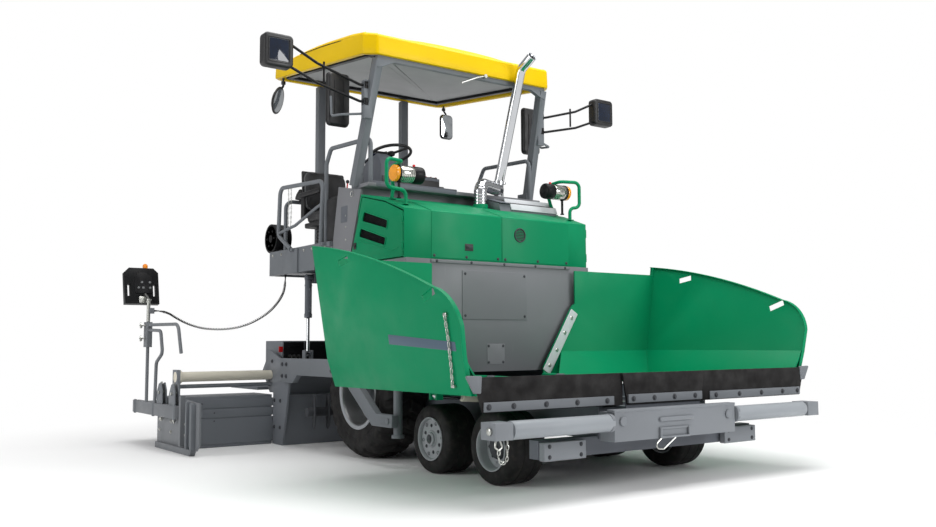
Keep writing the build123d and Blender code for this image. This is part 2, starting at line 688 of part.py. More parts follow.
def post_point(z):
    """Centre of the leaning front post at height z."""
    (fx, fy, fz), (hx, hy, hz) = POST_FOOT, POST_HEAD
    share = (z - fz) / (hz - fz)
    return fx + share * (hx - fx), fy + share * (hy - fy), z


def canopy_frame():
    """Four posts, the header under the roof's front edge and the brackets for signs and mirrors."""
    along = Vector(*POST_HEAD) - Vector(*POST_FOOT)
    middle = (Vector(*POST_HEAD) + Vector(*POST_FOOT)) * 0.5
    plane = Plane(origin=middle, x_dir=(1, 0, 0), z_dir=along)
    left = plane * Box(*POST_SIZE, along.length)
    inner = BODY_HALF - CONSOLE_T
    left += block((inner - 40, inner), (BULKHEAD_Y + 2, 90), (1960, 2190))
    x, y, _ = post_point(2750)
    left += block((x, BRACKET_X), (y - 25, y + 25), BRACKET_Z)
    rx, ry = REAR_POST
    left += block((rx - 35, rx + 35), (ry - 35, ry + 35), (DECK_Z, roof_line(ry - 35) - FIT_GAP))
    header_y = (ROOF_FRONT[0] + 25, ROOF_FRONT[0] + 65)
    head = roof_line(header_y[0]) - FIT_GAP
    sill = (
        (-840, 2985), (-840, head), (840, head), (840, 2985),
        (790, 3000), (690, 3048), (-690, 3048), (-790, 3000),
    )
    header = cross_plate(sill, header_y)
    return left + mirrored(left) + header


def traffic_signs():
    """Arrow signs on two-tube arms outside the front posts."""
    _, y, _ = post_point(2750)
    sx, sz = SIGN_CENTRE
    box = block((sx - 115, sx + 115), (y - 50, y + 50), (sz - 122, sz + 122))
    arms = rod_between((1240, y, 2815), (1240, y, 2975), 10)
    for foot_z, rise in ((2860, 85), (2730, -85)):
        arms += rod_x((BRACKET_X, BRACKET_X + 40), y, foot_z, 12)
        arms += rod_between((BRACKET_X + 25, y, foot_z), (sx - 90, y, sz + rise), 12)
    return both(box + arms)


def mirrors():
    """Two long mirrors at the front posts, a round one and a small one at the rear corners."""
    _, y, _ = post_point(2750)
    heads = None
    for sign in (-1, 1):
        panel = block((885, 1085), (86, 114), (2575, 3005))
        arm = tube(((BRACKET_X, y, 2630), (985, y, 2630), (985, 86, 2630)), 10, 50)
        piece = on_side(panel + arm, sign)
        heads = piece if heads is None else heads + piece
    rear_y = 1300
    stem = (3205, roof_line(rear_y - 10) - FIT_GAP)
    heads += rod_y(-965, (rear_y - 14, rear_y + 14), 3050, 125)
    heads += rod_z(-900, rear_y, stem, 10) + rod_between((-900, rear_y, 3210), (-930, rear_y, 3140), 10)
    heads += block((805, 955), (rear_y - 14, rear_y + 14), (2925, 3175))
    heads += rod_z(895, rear_y, (3160, stem[1]), 10)
    return heads


def work_lights():
    """Drum lamps on short stems inside bent guard hoops."""
    y, z = -526, 2125
    lamp = rod_x((LAMP_FOOT_X - 203, LAMP_FOOT_X + 63), y, z, 65)
    lamp += rod_z(LAMP_FOOT_X, y, (hood_top(y + 10) + FIT_GAP, z), 10)
    foot, outer = LAMP_FOOT_X, LAMP_FOOT_X + 175
    front_foot = hood_top(-606) + FIT_GAP
    rear_foot = hood_top(-411) + FIT_GAP
    hoop = tube(
        (
            (foot, -620, front_foot), (foot, -620, 1985), (outer, -650, 1995), (outer, -650, 2205),
            (outer, -400, 2205), (outer, -400, 2020), (foot, -425, 2005), (foot, -425, rear_foot),
        ),
        14, 45,
    )
    return Compound(children=[*both(lamp).solids(), *both(hoop).solids()])


# ---------------------------------------------------------------- hopper
def centre_apron():
    """Rubber apron between the wings with its clamping strip."""
    low, high = APRON_Z
    top = HINGE_X + 38
    flap = ((-HINGE_X, low), (HINGE_X, low), (top, high), (-top, high))
    rubber = cross_plate(flap, CENTRE_APRON_Y)
    front = (CENTRE_APRON_Y[0] - 8, CENTRE_APRON_Y[0])
    strip = block((20 - HINGE_X, HINGE_X - 20), front, (APRON_Z[0] + 12, APRON_Z[0] + 60))
    return rubber + strip


def wing_outline(inset):
    """Cross section of the wing: floor and leaning side wall, open towards the top."""
    (x1, z1), (x2, z2), (x3, z3) = WING_SIDE
    over = 90
    lean = (x3 - x2) / (z3 - z2) * over
    return (
        (HINGE_X + 15 - inset, WING_FLOOR_Z + inset), (x1 - inset, z1 + 14 + inset * 0.9),
        (x2 - inset, z2), (x3 - inset, z3), (x3 + lean - inset, z3 + over), (HINGE_X + 15 - inset, z3 + over),
    )


def wing_side_mask():
    """Side view of the wing: curved top rim, rounded nose and slanted front edge."""
    x = 200
    rear_top = (x, WING_REAR, 1515)
    nose_top = (x, -2110, 1178)
    nose = (x, WING_FRONT, 960)
    rim = ThreePointArc(rear_top, (x, -1440, 1392), nose_top)
    bend = ThreePointArc(nose_top, (x, -2262, 1092), nose)
    front = Polyline(nose, (x, WING_FRONT + 34, 540), (x, WING_REAR, 560), rear_top)
    face = make_face([rim, bend, *front.edges()])
    return extrude(face, amount=1600, dir=(1, 0, 0))


def wing(side):
    """Hopper wing: floor, leaning side wall, rear wall with a slanted inner edge, hinge knuckles."""
    wall = WING_WALL_Y if side > 0 else WING_WALL_Y + WING_T + WING_WALL_PASS
    shell = cross_plate(wing_outline(0), (WING_FRONT, WING_REAR))
    shell -= cross_plate(wing_outline(WING_T), (WING_FRONT - 10, wall))
    shell -= cross_plate(wing_outline(WING_T), (wall + WING_T, WING_REAR + 10))
    shell &= wing_side_mask()
    back = (wall - 1, WING_REAR + 1)
    shell -= cross_plate(((200, 1650), (682, 1650), (682, 1183), (648, 1163), (318, 645), (200, 645)), back)
    shell -= block((600, 1590), back, (1445, 1650))
    for y, z, slope in HAND_SLOTS:
        slot = Pos(1590, y, z) * Rot(slope, 0, 0) * Box(200, 130, 42)
        shell -= slot
    lx, lz = WING_CYL_LUG
    for low in (WING_CYL_Y - 42, WING_CYL_Y + 28):
        shell += block((lx - 26, lx + 26), (low, low + 14), (lz - 26, WING_FLOOR_Z - 4))
    shell += wing_lip()
    for low, high in HINGE_LUGS:
        shell -= rod_y(HINGE_X, (low - 5, high + 5), HINGE_Z, 26)
    for low, high in WING_KNUCKLES:
        shell += rod_y(HINGE_X, (low, high), HINGE_Z, 20)
        shell += block((HINGE_X, HINGE_X + 40), (low, high), (WING_FLOOR_Z + 2, HINGE_Z + 2))
    shell -= rod_y(HINGE_X, (WING_FRONT - 5, WING_REAR), HINGE_Z, HINGE_ROD_R + FIT_GAP)
    return on_side(shell, side)


def wing_lip():
    """Front strip of the wing's floor, out to the apron that it carries."""
    x0, z0 = HINGE_X + 15, WING_FLOOR_Z
    x1, z1 = WING_SIDE[0][0], WING_SIDE[0][1] + 14
    low_x, high_x = x0 + 10, x1 - 20
    low_z = z0 + (low_x - x0) * (z1 - z0) / (x1 - x0)
    high_z = z0 + (high_x - x0) * (z1 - z0) / (x1 - x0)
    strip = ((low_x, low_z), (high_x, high_z), (high_x, high_z + 11), (low_x, low_z + 11))
    return cross_plate(strip, (APRON_Y[1], WING_FRONT + 80))


def wing_apron(side):
    """Rubber apron across the wing's open front."""
    outer = ((APRON_SPLIT_X, APRON_Z[0]), (1395, APRON_Z[0]), (1424, 592), (1464, 690), (APRON_SPLIT_X, 690))
    return on_side(cross_plate(outer, APRON_Y), side)


def along(base, lug, distance):
    """Point at a distance from base towards lug in the XZ plane of the wing cylinder."""
    run = math.dist(base, lug)
    share = distance / run
    return base[0] + share * (lug[0] - base[0]), base[1] + share * (lug[1] - base[1])


def wing_barrel(side):
    """Barrel of a wing cylinder, with the eye on the frame's pin."""
    base, lug = WING_CYL_BASE, WING_CYL_LUG
    x0, z0 = along(base, lug, 24)
    x1, z1 = along(base, lug, WING_BARREL)
    body = rod_between((x0, WING_CYL_Y, z0), (x1, WING_CYL_Y, z1), 30)
    body += rod_y(base[0], (WING_CYL_Y - 27, WING_CYL_Y + 27), base[1], 28)
    xb, zb = along(base, lug, 60)
    beyond = (x1 + (x1 - x0), WING_CYL_Y, z1 + (z1 - z0))
    body -= rod_between((xb, WING_CYL_Y, zb), beyond, WING_ROD_R + FIT_GAP)
    body -= rod_y(base[0], (WING_CYL_Y - 40, WING_CYL_Y + 40), base[1], WING_PIN_R + FIT_GAP)
    return on_side(body, side)


def wing_rod(side):
    """Rod of a wing cylinder, with the eye at the wing's lugs."""
    base, lug = WING_CYL_BASE, WING_CYL_LUG
    x0, z0 = along(base, lug, 130)
    x1, z1 = along(base, lug, math.dist(base, lug) - 10)
    body = rod_between((x0, WING_CYL_Y, z0), (x1, WING_CYL_Y, z1), WING_ROD_R)
    body += rod_y(lug[0], (WING_CYL_Y - 22, WING_CYL_Y + 22), lug[1], 20)
    body -= rod_y(lug[0], (WING_CYL_Y - 30, WING_CYL_Y + 30), lug[1], 10)
    return on_side(body, side)


# ---------------------------------------------------------------- push beam
def push_beam():
    """Oscillating beam with the coupling mouth, roller shafts and their outer brackets."""
    low, high = BEAM_Z
    beam = block((-BEAM_HALF, BEAM_HALF), BEAM_Y, BEAM_Z)
    beam -= block((-125, 125), (BEAM_PIN_Y - 47, BEAM_Y[1] + 5), (350, 420))
    beam -= rod_z(0, BEAM_PIN_Y, (low + 12, high - 12), BEAM_PIN_R + FIT_GAP)
    back = (ROLLER_Y + ROLLER_R + 6, ROLLER_Y + ROLLER_R + 30)
    left = rod_x((BEAM_HALF - 10, 1320), ROLLER_Y, ROLLER_Z, 15)
    left += block((BEAM_HALF - 10, 1415), back, (ROLLER_Z - 32, ROLLER_Z + 28))
    left += block((ROLLER_X[1] + 12, 1415), (ROLLER_Y - 46, back[1]), (ROLLER_Z - 46, ROLLER_Z + 46))
    return beam + left + mirrored(left)


def push_roller(side):
    """Roller that pushes the lorry's wheels, turning on its shaft."""
    roller = rod_x((ROLLER_X[0], ROLLER_X[1]), ROLLER_Y, ROLLER_Z, ROLLER_R)
    roller -= rod_x((ROLLER_X[0] - 5, ROLLER_X[1] + 5), ROLLER_Y, ROLLER_Z, 15 + FIT_GAP)
    return on_side(roller, side)


# ---------------------------------------------------------------- augers and screed
def auger(side):
    """Auger half: tube with slanted blades along it, bored for the gearcase stub."""
    body = rod_x((62, 860), AUGER_Y, AUGER_Z, 38)
    reach = rod_x((62, 860), AUGER_Y, AUGER_Z, AUGER_R)
    for index in range(6):
        blade = Pos(140 + index * 130, AUGER_Y, AUGER_Z) * Rot(0, 0, 22) * Box(12, 400, 400)
        body += blade & reach
    body -= rod_x((50, 202), AUGER_Y, AUGER_Z, AUGER_STUB_R + FIT_GAP)
    return on_side(body, side)


def levelling_cylinders():
    """Upright cylinders that set the tow point, each with its foot and the tow pin."""
    x = ARM_X[0] - 35
    body = rod_z(x, TOW_Y, (228, TOW_BRACKET_Z[0]), 32) + rod_z(x, TOW_Y, (205, 228), 45)
    return both(body + rod_x((x, ARM_X[1] + 8), TOW_Y, TOW_Z, TOW_PIN_R))


def tow_arms():
    """Side arms from the tow point round the rear wheel to the screed, with the lift lugs."""
    outline = (
        (TOW_Y - 50, 283), (TOW_Y - 60, 371), (-483, 371), (35, 750), (1150, 750), (1150, 545),
        (900, 545), (820, 611), (30, 611), (-427, 283),
    )
    arm = side_plate(outline, ARM_X)
    arm -= rod_x((ARM_X[0] - 5, ARM_X[1] + 5), TOW_Y, TOW_Z, TOW_PIN_R + FIT_GAP)
    y, z = LIFT_FOOT
    arm += block((LIFT_X - 38, ARM_X[0]), (y - 45, y + 45), (z - 100, z - 62))
    for x in (LIFT_X - 38, LIFT_X + 26):
        arm += block((x, x + 12), (y - 30, y + 30), (z - 62, z + 28))
    return both(arm)


def screed():
    """Main screed, side plates, tube guide, control boxes and the rear walkway."""
    body = block((-SCREED_HALF, SCREED_HALF), SCREED_Y, (0, SCREED_TOP))
    body += block((-SCREED_HALF, SCREED_HALF), (1300, 1400), (SCREED_TOP - 20, 660))
    body += block((-SCREED_HALF, SCREED_HALF), (1400, 1510), (480, 660))
    body += block((40 - SCREED_HALF, SCREED_HALF - 40), (1340, 1700), (660, 900))
    cheek = (
        (1072, 731), (1074, 534), (SCREED_Y[0], 0), (SCREED_Y[1] + 4, 0), (SCREED_Y[1] + 4, 446),
        (1468, 446), (1630, 636), (1480, 819), (1164, 717),
    )
    left = side_plate(cheek, (SCREED_HALF, ARM_X[0]))
    left += block((400, 460), (1500, 1840), (450, 480))
    body += left + mirrored(left)
    body += block((20 - SCREED_HALF, SCREED_HALF - 20), (1830, HALF_LENGTH), (450, 480))
    for z, radius in ((TUBE_Z, TUBE_R), (LOW_TUBE_Z, LOW_TUBE_R)):
        body -= rod_x((-ARM_X[1] - 30, ARM_X[1] + 30), TUBE_Y, z, radius + FIT_GAP)
    return body


def lift_barrel(side):
    """Barrel of a screed lift cylinder, hung from the bracket's pin."""
    y, z = LIFT_TOP
    body = rod_z(LIFT_X, y, (z - LIFT_BARREL, z - 20), 30) + rod_x((LIFT_X - 24, LIFT_X + 24), y, z, 30)
    body -= rod_z(LIFT_X, y, (z - LIFT_BARREL - 5, z - 50), LIFT_ROD_R + FIT_GAP)
    body -= rod_x((LIFT_X - 30, LIFT_X + 30), y, z, LIFT_PIN_R + FIT_GAP)
    return on_side(body, side)


def lift_rod(side):
    """Rod of a screed lift cylinder, with the eye at the tow arm's lug."""
    (y, z), (_, foot) = LIFT_TOP, LIFT_FOOT
    body = rod_z(LIFT_X, y, (foot + 15, z - LIFT_BARREL + 30), LIFT_ROD_R)
    body += rod_x((LIFT_X - 20, LIFT_X + 20), y, foot, 24)
    body -= rod_x((LIFT_X - 25, LIFT_X + 25), y, foot, 12)
    return on_side(body, side)


def extension(side):
    """Sliding screed half with its guide tubes, tube bracket and walkway."""
    body = block(EXT_X, EXT_Y, (0, SCREED_TOP))
    body += block(EXT_X, (EXT_Y[1], 2380), (330, 360))
    body += block((EXT_X[1] - 40, EXT_X[1] - 10), (EXT_Y[0], 1515), (SCREED_TOP - 10, 660))
    for z, radius in ((TUBE_Z, TUBE_R), (LOW_TUBE_Z, LOW_TUBE_R)):
        body += rod_x((SCREED_HALF - 50, EXT_X[1] - 35), TUBE_Y, z, radius)
    return on_side(body, side)


def end_plate(side):
    """End plate with its ski, deflector, carrier beam, handrails, stand and remote control."""
    x = END_X[0]
    plate = side_plate(((790, 90), (790, 410), (1120, 430), (1810, 430), (1810, 40), (860, 40)), END_X)
    plate += side_plate(((888, 40), (888, 50), (1770, 50), (1770, 0), (920, 0)), (x, x + 45))
    plate += block((END_X[1], END_X[1] + 55), (1200, 2350), (270, 375))
    plate += block((END_X[1], END_X[1] + 40), (1110, 1150), (60, 460))
    stand_y = 1970
    plate += rod_z(STAND_X, stand_y, (370, 1275), 14)
    plate += block((STAND_X - 22, STAND_X + 22), (stand_y - 50, stand_y + 50), (850, 1070))
    plate += block((STAND_X - 45, STAND_X), (stand_y - 22, stand_y + 22), (1145, 1195))
    rail_a = ((STAND_X, stand_y - 40, 1045), (STAND_X - 40, 1300, 1040), (STAND_X - 50, 1240, 800))
    rail_b = (
        (STAND_X, stand_y - 40, 1000), (STAND_X, 1620, 990), (STAND_X, 1560, 800), (STAND_X, 1720, 720),
        (STAND_X, 1740, 372),
    )
    plate += tube(rail_a, 14, 70) + tube(rail_b, 14, 50)
    plate += remote_control(stand_y)
    return on_side(plate, side)


def remote_control(stand_y):
    """Remote-control panel with a hand slot at each side, on its bent post."""
    wide, deep, high = REMOTE_SIZE
    panel = Box(wide, deep, high)
    for sign in (-1, 1):
        panel -= Pos(sign * (wide / 2 - 38), 0, -40) * Box(28, deep + 10, 110)
        corner = Pos(sign * wide / 2, 0, high / 2) * Rot(0, sign * 45, 0)
        panel -= corner * Box(60, deep + 10, 60)
    centre = (STAND_X + 30, 2110, 1390)
    post = rod_between((STAND_X, stand_y, 1262), (STAND_X + 5, centre[1] - 10, centre[2] - 60), 14)
    return Pos(*centre) * Rot(-12, 0, 0) * panel + post


def remote_cable():
    """Curly cable of the remote control, one fat tube of its outer diameter."""
    points = [Vector(*point) for point in CABLE_ROUTE]
    radii = []
    for before, here, after in zip(points, points[1:], points[2:]):
        turn = math.radians((here - before).get_angle(after - here))
        shorter = min((here - before).length, (after - here).length)
        radii.append(0.45 * shorter / math.tan(turn / 2))
    print("cable radii", [round(r) for r in radii])
    path = FilletPolyline(*points, radius=radii)
    section = Plane(origin=path @ 0, z_dir=path % 0) * Circle(CABLE_R)
    cable = sweep(section, path=path)
    print("cable volume over section times length", cable.volume / (math.pi * CABLE_R**2 * path.length))
    return cable


# ---------------------------------------------------------------- export
def nodes():
    """Every sub-part by its name."""
    parts = {
        "main_frame": main_frame(),
        "bogie_beams": bogie_beams(),
        "rear_drives": rear_drives(),
        "conveyor": conveyor(),
        "tractor_body": tractor_body(),
        "engine": engine(),
        "hood": hood(),
        "air_box": air_box(),
        "exhaust": exhaust(),
        "platform": platform(),
        "hose_reel": hose_reel(),
        "console": console(),
        "steering_wheel": steering_wheel(),
        "seats": seats(),
        "canopy_roof": canopy_roof(),
        "canopy_frame": canopy_frame(),
        "traffic_signs": traffic_signs(),
        "mirrors": mirrors(),
        "work_lights": work_lights(),
        "centre_apron": centre_apron(),
        "push_beam": push_beam(),
        "levelling_cylinders": levelling_cylinders(),
        "tow_arms": tow_arms(),
        "screed": screed(),
        "remote_cable": remote_cable(),
    }
    for name, side in SIDES:
        for place, y in zip(("front", "rear"), FRONT_Y):
            parts[f"knuckle_{name}_{place}"] = knuckle(side, y)
            parts[f"bogie_wheel_{name}_{place}"] = front_wheel(side, y)
        parts[f"drive_rim_{name}"] = rear_rim(side)
        parts[f"drive_tyre_{name}"] = rear_tyre(side)
        parts[f"hood_door_{name}"] = hood_door(side)
        parts[f"wing_{name}"] = wing(side)
        parts[f"wing_apron_{name}"] = wing_apron(side)
        parts[f"wing_barrel_{name}"] = wing_barrel(side)
        parts[f"wing_rod_{name}"] = wing_rod(side)
        parts[f"push_roller_{name}"] = push_roller(side)
        parts[f"auger_{name}"] = auger(side)
        parts[f"lift_barrel_{name}"] = lift_barrel(side)
        parts[f"lift_rod_{name}"] = lift_rod(side)
        parts[f"extension_{name}"] = extension(side)
        parts[f"end_plate_{name}"] = end_plate(side)
    return parts


def main():
    os.makedirs("parts", exist_ok=True)
    for name, shape in nodes().items():
        export_step(shape, f"parts/{name}.step")


main()
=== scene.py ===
"""Wheeled asphalt paver: studio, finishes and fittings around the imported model.

Metres. The machine stands on z = 0, travels towards -Y, and +X is its left.
"""

import logging
import math
from dataclasses import dataclass
from enum import Enum
from functools import lru_cache
from typing import ClassVar

import bpy
import numpy as np
from mathutils import Matrix, Vector
from numpy.typing import ArrayLike, NDArray


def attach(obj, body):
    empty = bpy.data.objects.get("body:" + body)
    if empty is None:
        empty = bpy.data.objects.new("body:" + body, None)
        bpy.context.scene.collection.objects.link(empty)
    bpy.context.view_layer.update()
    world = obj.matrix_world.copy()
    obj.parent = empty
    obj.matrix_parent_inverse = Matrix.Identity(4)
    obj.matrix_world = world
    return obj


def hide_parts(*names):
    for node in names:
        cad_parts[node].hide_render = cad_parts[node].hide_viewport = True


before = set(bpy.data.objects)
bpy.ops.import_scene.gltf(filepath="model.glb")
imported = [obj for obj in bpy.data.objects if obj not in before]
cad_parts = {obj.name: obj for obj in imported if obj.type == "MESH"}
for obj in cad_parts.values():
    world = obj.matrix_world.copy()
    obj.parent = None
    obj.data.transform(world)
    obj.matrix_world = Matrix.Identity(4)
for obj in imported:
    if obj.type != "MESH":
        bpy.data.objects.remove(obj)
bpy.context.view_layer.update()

Array = NDArray[np.float64]
Pair = tuple[float, float]
Point = tuple[float, float, float]
Colour = tuple[int, int, int]
Socket = bpy.types.NodeSocket
SIDES = (("right", -1.0), ("left", 1.0))
ALONG_X, ALONG_Y, FORWARD, LEFT = (1.0, 0.0, 0.0), (0.0, 1.0, 0.0), (0, -1, 0), (1, 0, 0)
log = logging.getLogger("paver")


# ------------------------------------------------------------------ surfaces
class Axis(Enum):
    """Direction that a turned or plate-like surface is built along."""

    X = 0
    Y = 1
    Z = 2


@dataclass
class Surface:
    """Points and faces worked out as whole arrays.

    Attributes:
        points: One row of x, y, z for each point.
        faces: Arrays of point numbers, one array for each size of face.
        finishes: For each array of faces, which of the piece's finishes it wears.
    """

    points: Array
    faces: list[NDArray[np.int64]]
    finishes: list[int]

    def wearing(self, finish: int) -> "Surface":
        """The same surface in another of its piece's finishes."""
        return Surface(self.points, self.faces, [finish] * len(self.faces))

    def flipped(self) -> "Surface":
        """The same surface with its faces turned over."""
        return Surface(self.points, [f[:, ::-1] for f in self.faces], self.finishes)

    def moved(self, x: float = 0.0, y: float = 0.0, z: float = 0.0) -> "Surface":
        """The same surface somewhere else."""
        return Surface(self.points + np.array([x, y, z]), self.faces, self.finishes)

    def turned(self, degrees: float, axis: Axis) -> "Surface":
        """The surface turned right-handed about an axis through the origin."""
        spin = np.array(Matrix.Rotation(math.radians(degrees), 3, axis.name))
        return Surface(self.points @ spin.T, self.faces, self.finishes)

    def mirrored(self) -> "Surface":
        """The surface on the machine's other side, its faces still outwards."""
        return Surface(self.points * [-1.0, 1.0, 1.0], self.faces, self.finishes).flipped()

    def on(self, sign: float) -> "Surface":
        """A surface drawn on the left, put on the left (1) or the right (-1)."""
        return self if sign > 0 else self.mirrored()

    def on_both(self) -> "Surface":
        """The surface and its mirror image."""
        return together(self, self.mirrored())

    def copied(self, origins: ArrayLike, frames: Array | None = None) -> "Surface":
        """Copies at many places: point p of copy k is origin k + frame k times p.

        Args:
            origins: One row of x, y, z for each copy.
            frames: One 3 by 3 matrix for each copy, whose columns are its axes.

        Returns:
            All copies as one surface.
        """
        origins = np.atleast_2d(np.asarray(origins, float))
        count, size = len(origins), len(self.points)
        local = np.broadcast_to(self.points, (count, size, 3))
        if frames is not None:
            local = np.einsum("kij,knj->kni", frames, local)
        points = (local + origins[:, None, :]).reshape(-1, 3)
        shift = (np.arange(count) * size)[:, None, None]
        faces = [(f[None] + shift).reshape(-1, f.shape[1]) for f in self.faces]
        return Surface(points, faces, self.finishes)

    def facing(self, direction: Point, places: ArrayLike) -> "Surface":
        """Copies at many places whose Z axis points along one direction."""
        places = np.atleast_2d(np.asarray(places, float))
        axes = np.array(Vector(direction).to_track_quat("Z", "Y").to_matrix())
        return self.copied(places, np.broadcast_to(axes, (len(places), 3, 3)))


def together(*surfaces: Surface) -> Surface:
    """Several surfaces as one, each with its own points and finish."""
    starts = np.cumsum([0] + [len(s.points) for s in surfaces])
    faces = [f + start for s, start in zip(surfaces, starts) for f in s.faces]
    finishes = [finish for s in surfaces for finish in s.finishes]
    return Surface(np.concatenate([s.points for s in surfaces]), faces, finishes)


def unit(rows: Array) -> Array:
    """Rows scaled to a length of 1."""
    return rows / np.linalg.norm(rows, axis=1, keepdims=True)


def smooth_step(share: Array) -> Array:
    """3 s^2 - 2 s^3."""
    return share * share * (3 - 2 * share)


def turns(count: int, phase: float = 0.0) -> Array:
    """Directions evenly round a circle: (cos a, sin a)."""
    angle = np.arange(count) * 2 * np.pi / count + phase
    return np.stack([np.cos(angle), np.sin(angle)], -1)


def seated(flat: ArrayLike, height: ArrayLike, axis: Axis) -> Array:
    """Points from two outline coordinates and a height along an axis.

    Args:
        flat: Outline coordinates in the last index: y z about X, x z about Y, x y about Z.
        height: Distance along the axis, one for all or one index less than flat.
        axis: The axis.

    Returns:
        Array of x, y, z.
    """
    flat = np.asarray(flat, float)
    return np.insert(flat, axis.value, np.broadcast_to(height, flat.shape[:-1]), axis=-1)


def measured(path: Array) -> Array:
    """Distance of each point of a path from its start, along it."""
    return np.concatenate([[0.0], np.cumsum(np.linalg.norm(np.diff(path, axis=0), axis=1))])


def sampled(path: Array, at: Array) -> Array:
    """Points of a path at distances from its start."""
    run = measured(path)
    return np.stack([np.interp(at, run, path[:, k]) for k in range(3)], -1)


def grid(points: Array, wrap_rows: bool = False) -> Surface:
    """Quads over rows of points that each close on themselves.

    A face joins point (i, j) with (i, j + 1), (i + 1, j + 1) and (i + 1, j).

    Args:
        points: Array of rows, columns and x, y, z.
        wrap_rows: Joins the last row to the first; otherwise a flat face closes each of them.

    Returns:
        The surface.
    """
    rows, columns = points.shape[:2]
    i = np.arange(rows if wrap_rows else rows - 1)[:, None]
    j = np.arange(columns)[None, :]
    below, beside = (i + 1) % rows, (j + 1) % columns
    corners = (i * columns + j, i * columns + beside, below * columns + beside, below * columns + j)
    faces = [np.stack(np.broadcast_arrays(*corners), -1).reshape(-1, 4)]
    if not wrap_rows:
        row = np.arange(columns)
        faces += [row[None, ::-1], (rows - 1) * columns + row[None]]
    return Surface(points.reshape(-1, 3), faces, [0] * len(faces))


def ring(radius: float, count: int = 12, squash: float = 1.0) -> Array:
    """Closed round or oval profile, counter-clockwise: (r cos a, r k sin a)."""
    return turns(count) * [radius, radius * squash]


def rounded(corners: ArrayLike, radius: float, steps: int = 5) -> tuple[Array, Array]:
    """Closed outline with an arc at each corner of a counter-clockwise polygon.

    At a corner the heading turns from that of the edge before to that of the edge after. With the
    signed radius R the points are centre + R (sin h, -cos h), and (sin h, -cos h) points outwards.

    Args:
        corners: One row of two coordinates for each corner.
        radius: Radius of every arc.
        steps: Points in each arc.

    Returns:
        The outline's points and the outward direction at each of them.
    """
    corners = np.asarray(corners, float)
    before = corners - np.roll(corners, 1, axis=0)
    after = np.roll(corners, -1, axis=0) - corners
    start = np.arctan2(before[:, 1], before[:, 0])
    turn = np.arctan2(after[:, 1], after[:, 0]) - start
    turn = (turn + np.pi) % (2 * np.pi) - np.pi
    tangent = corners - unit(before) * (radius * np.tan(np.abs(turn) / 2))[:, None]
    signed = radius * np.sign(turn)
    centre = tangent + signed[:, None] * np.stack([-np.sin(start), np.cos(start)], -1)
    heading = start[:, None] + turn[:, None] * np.linspace(0, 1, steps)
    outward = np.stack([np.sin(heading), -np.cos(heading)], -1)
    points = centre[:, None] + signed[:, None, None] * outward
    return points.reshape(-1, 2), outward.reshape(-1, 2)


def rim_rows(edge: float, count: int) -> tuple[Array, Array]:
    """Inset e (1 - sin a) and rise e (1 - cos a) of a quarter-round rim."""
    bend = np.linspace(0, np.pi / 2, count)
    return edge * (1 - np.sin(bend)), edge * (1 - np.cos(bend))


def slab(
    corners: ArrayLike, radius: float, low: float, high: float, edge: float, axis: Axis,
    steps: int = 5,
) -> Surface:
    """Plate with rounded corners and a rounded rim: the outline carried from low to high.

    Args:
        corners: Counter-clockwise polygon of the plate, seen from the axis' positive end
            (for Y, from its negative end).
        radius: Corner radius, above the edge radius.
        low: Where the plate starts along the axis.
        high: Where it ends.
        edge: Radius of the rim.
        axis: Direction across the plate.
        steps: Points in each corner's arc.

    Returns:
        The closed plate.
    """
    outline, outward = rounded(corners, radius, steps)
    inset, rise = rim_rows(edge, 4)
    inset = np.concatenate([inset, inset[::-1]])
    height = np.concatenate([low + rise, (high - rise)[::-1]])
    made = grid(seated(outline[None] - inset[:, None, None] * outward[None], height[:, None], axis))
    return made.flipped() if axis is Axis.Y else made


def oblong(width: float, height: float, centre: Pair = (0.0, 0.0)) -> Array:
    """Counter-clockwise corners of a rectangle."""
    return np.array([[-1, -1], [1, -1], [1, 1], [-1, 1]]) * [width / 2, height / 2] + centre


def bar_profile(width: float, height: float, radius: float, steps: int = 3) -> Array:
    """Profile of a flat bar with rounded corners."""
    return rounded(oblong(width, height), radius, steps)[0]


def brick(x: Pair, y: Pair, z: Pair, edge: float = 0.003) -> Surface:
    """Box between two values of x, of y and of z, with rounded edges."""
    spans = np.array([x, y, z], float)
    sizes = spans[:, 1] - spans[:, 0]
    thin = int(np.argmin(sizes))
    a, b = (k for k in range(3) if k != thin)
    edge = min(edge, 0.3 * float(sizes[thin]))
    flat = oblong(sizes[a], sizes[b], (spans[a].mean(), spans[b].mean()))
    return slab(flat, 1.5 * edge, spans[thin, 0], spans[thin, 1], edge, Axis(thin), 3)


def bricks(*rows: tuple[Pair, Pair, Pair, float]) -> Surface:
    """Several boxes with rounded edges."""
    return together(*(brick(*row) for row in rows))


def lathe(
    profile: ArrayLike, axis: Axis, centre: Point = (0.0, 0.0, 0.0), count: int = 40,
    loop: bool = False,
) -> Surface:
    """Profile turned about an axis: centre + r cos a u + r sin a v + h w.

    Args:
        profile: Rows of radius and height, counter-clockwise in the half plane.
        axis: Direction w of the axis.
        centre: Point on the axis where the height is 0.
        count: Points round the axis.
        loop: The profile's last point joins its first, as in a ring.

    Returns:
        The turned surface, its ends closed by flat faces.
    """
    profile = np.asarray(profile, float)
    flat = profile[:, None, :1] * turns(count)[None]
    made = grid(seated(flat, profile[:, 1:], axis) + np.asarray(centre), wrap_rows=loop)
    return made.flipped() if axis is Axis.Y else made


def reversed_profile(profile: list[Pair]) -> list[Pair]:
    """The profile of the same turned part, facing the other way."""
    return [(r, -h) for r, h in reversed(profile)]


def plug(radius: float, low: float, high: float, hole: float = 0.001) -> list[Pair]:
    """Profile of a plain round bar or ring between two heights."""
    return [(hole, low), (radius, low), (radius, high), (hole, high)]


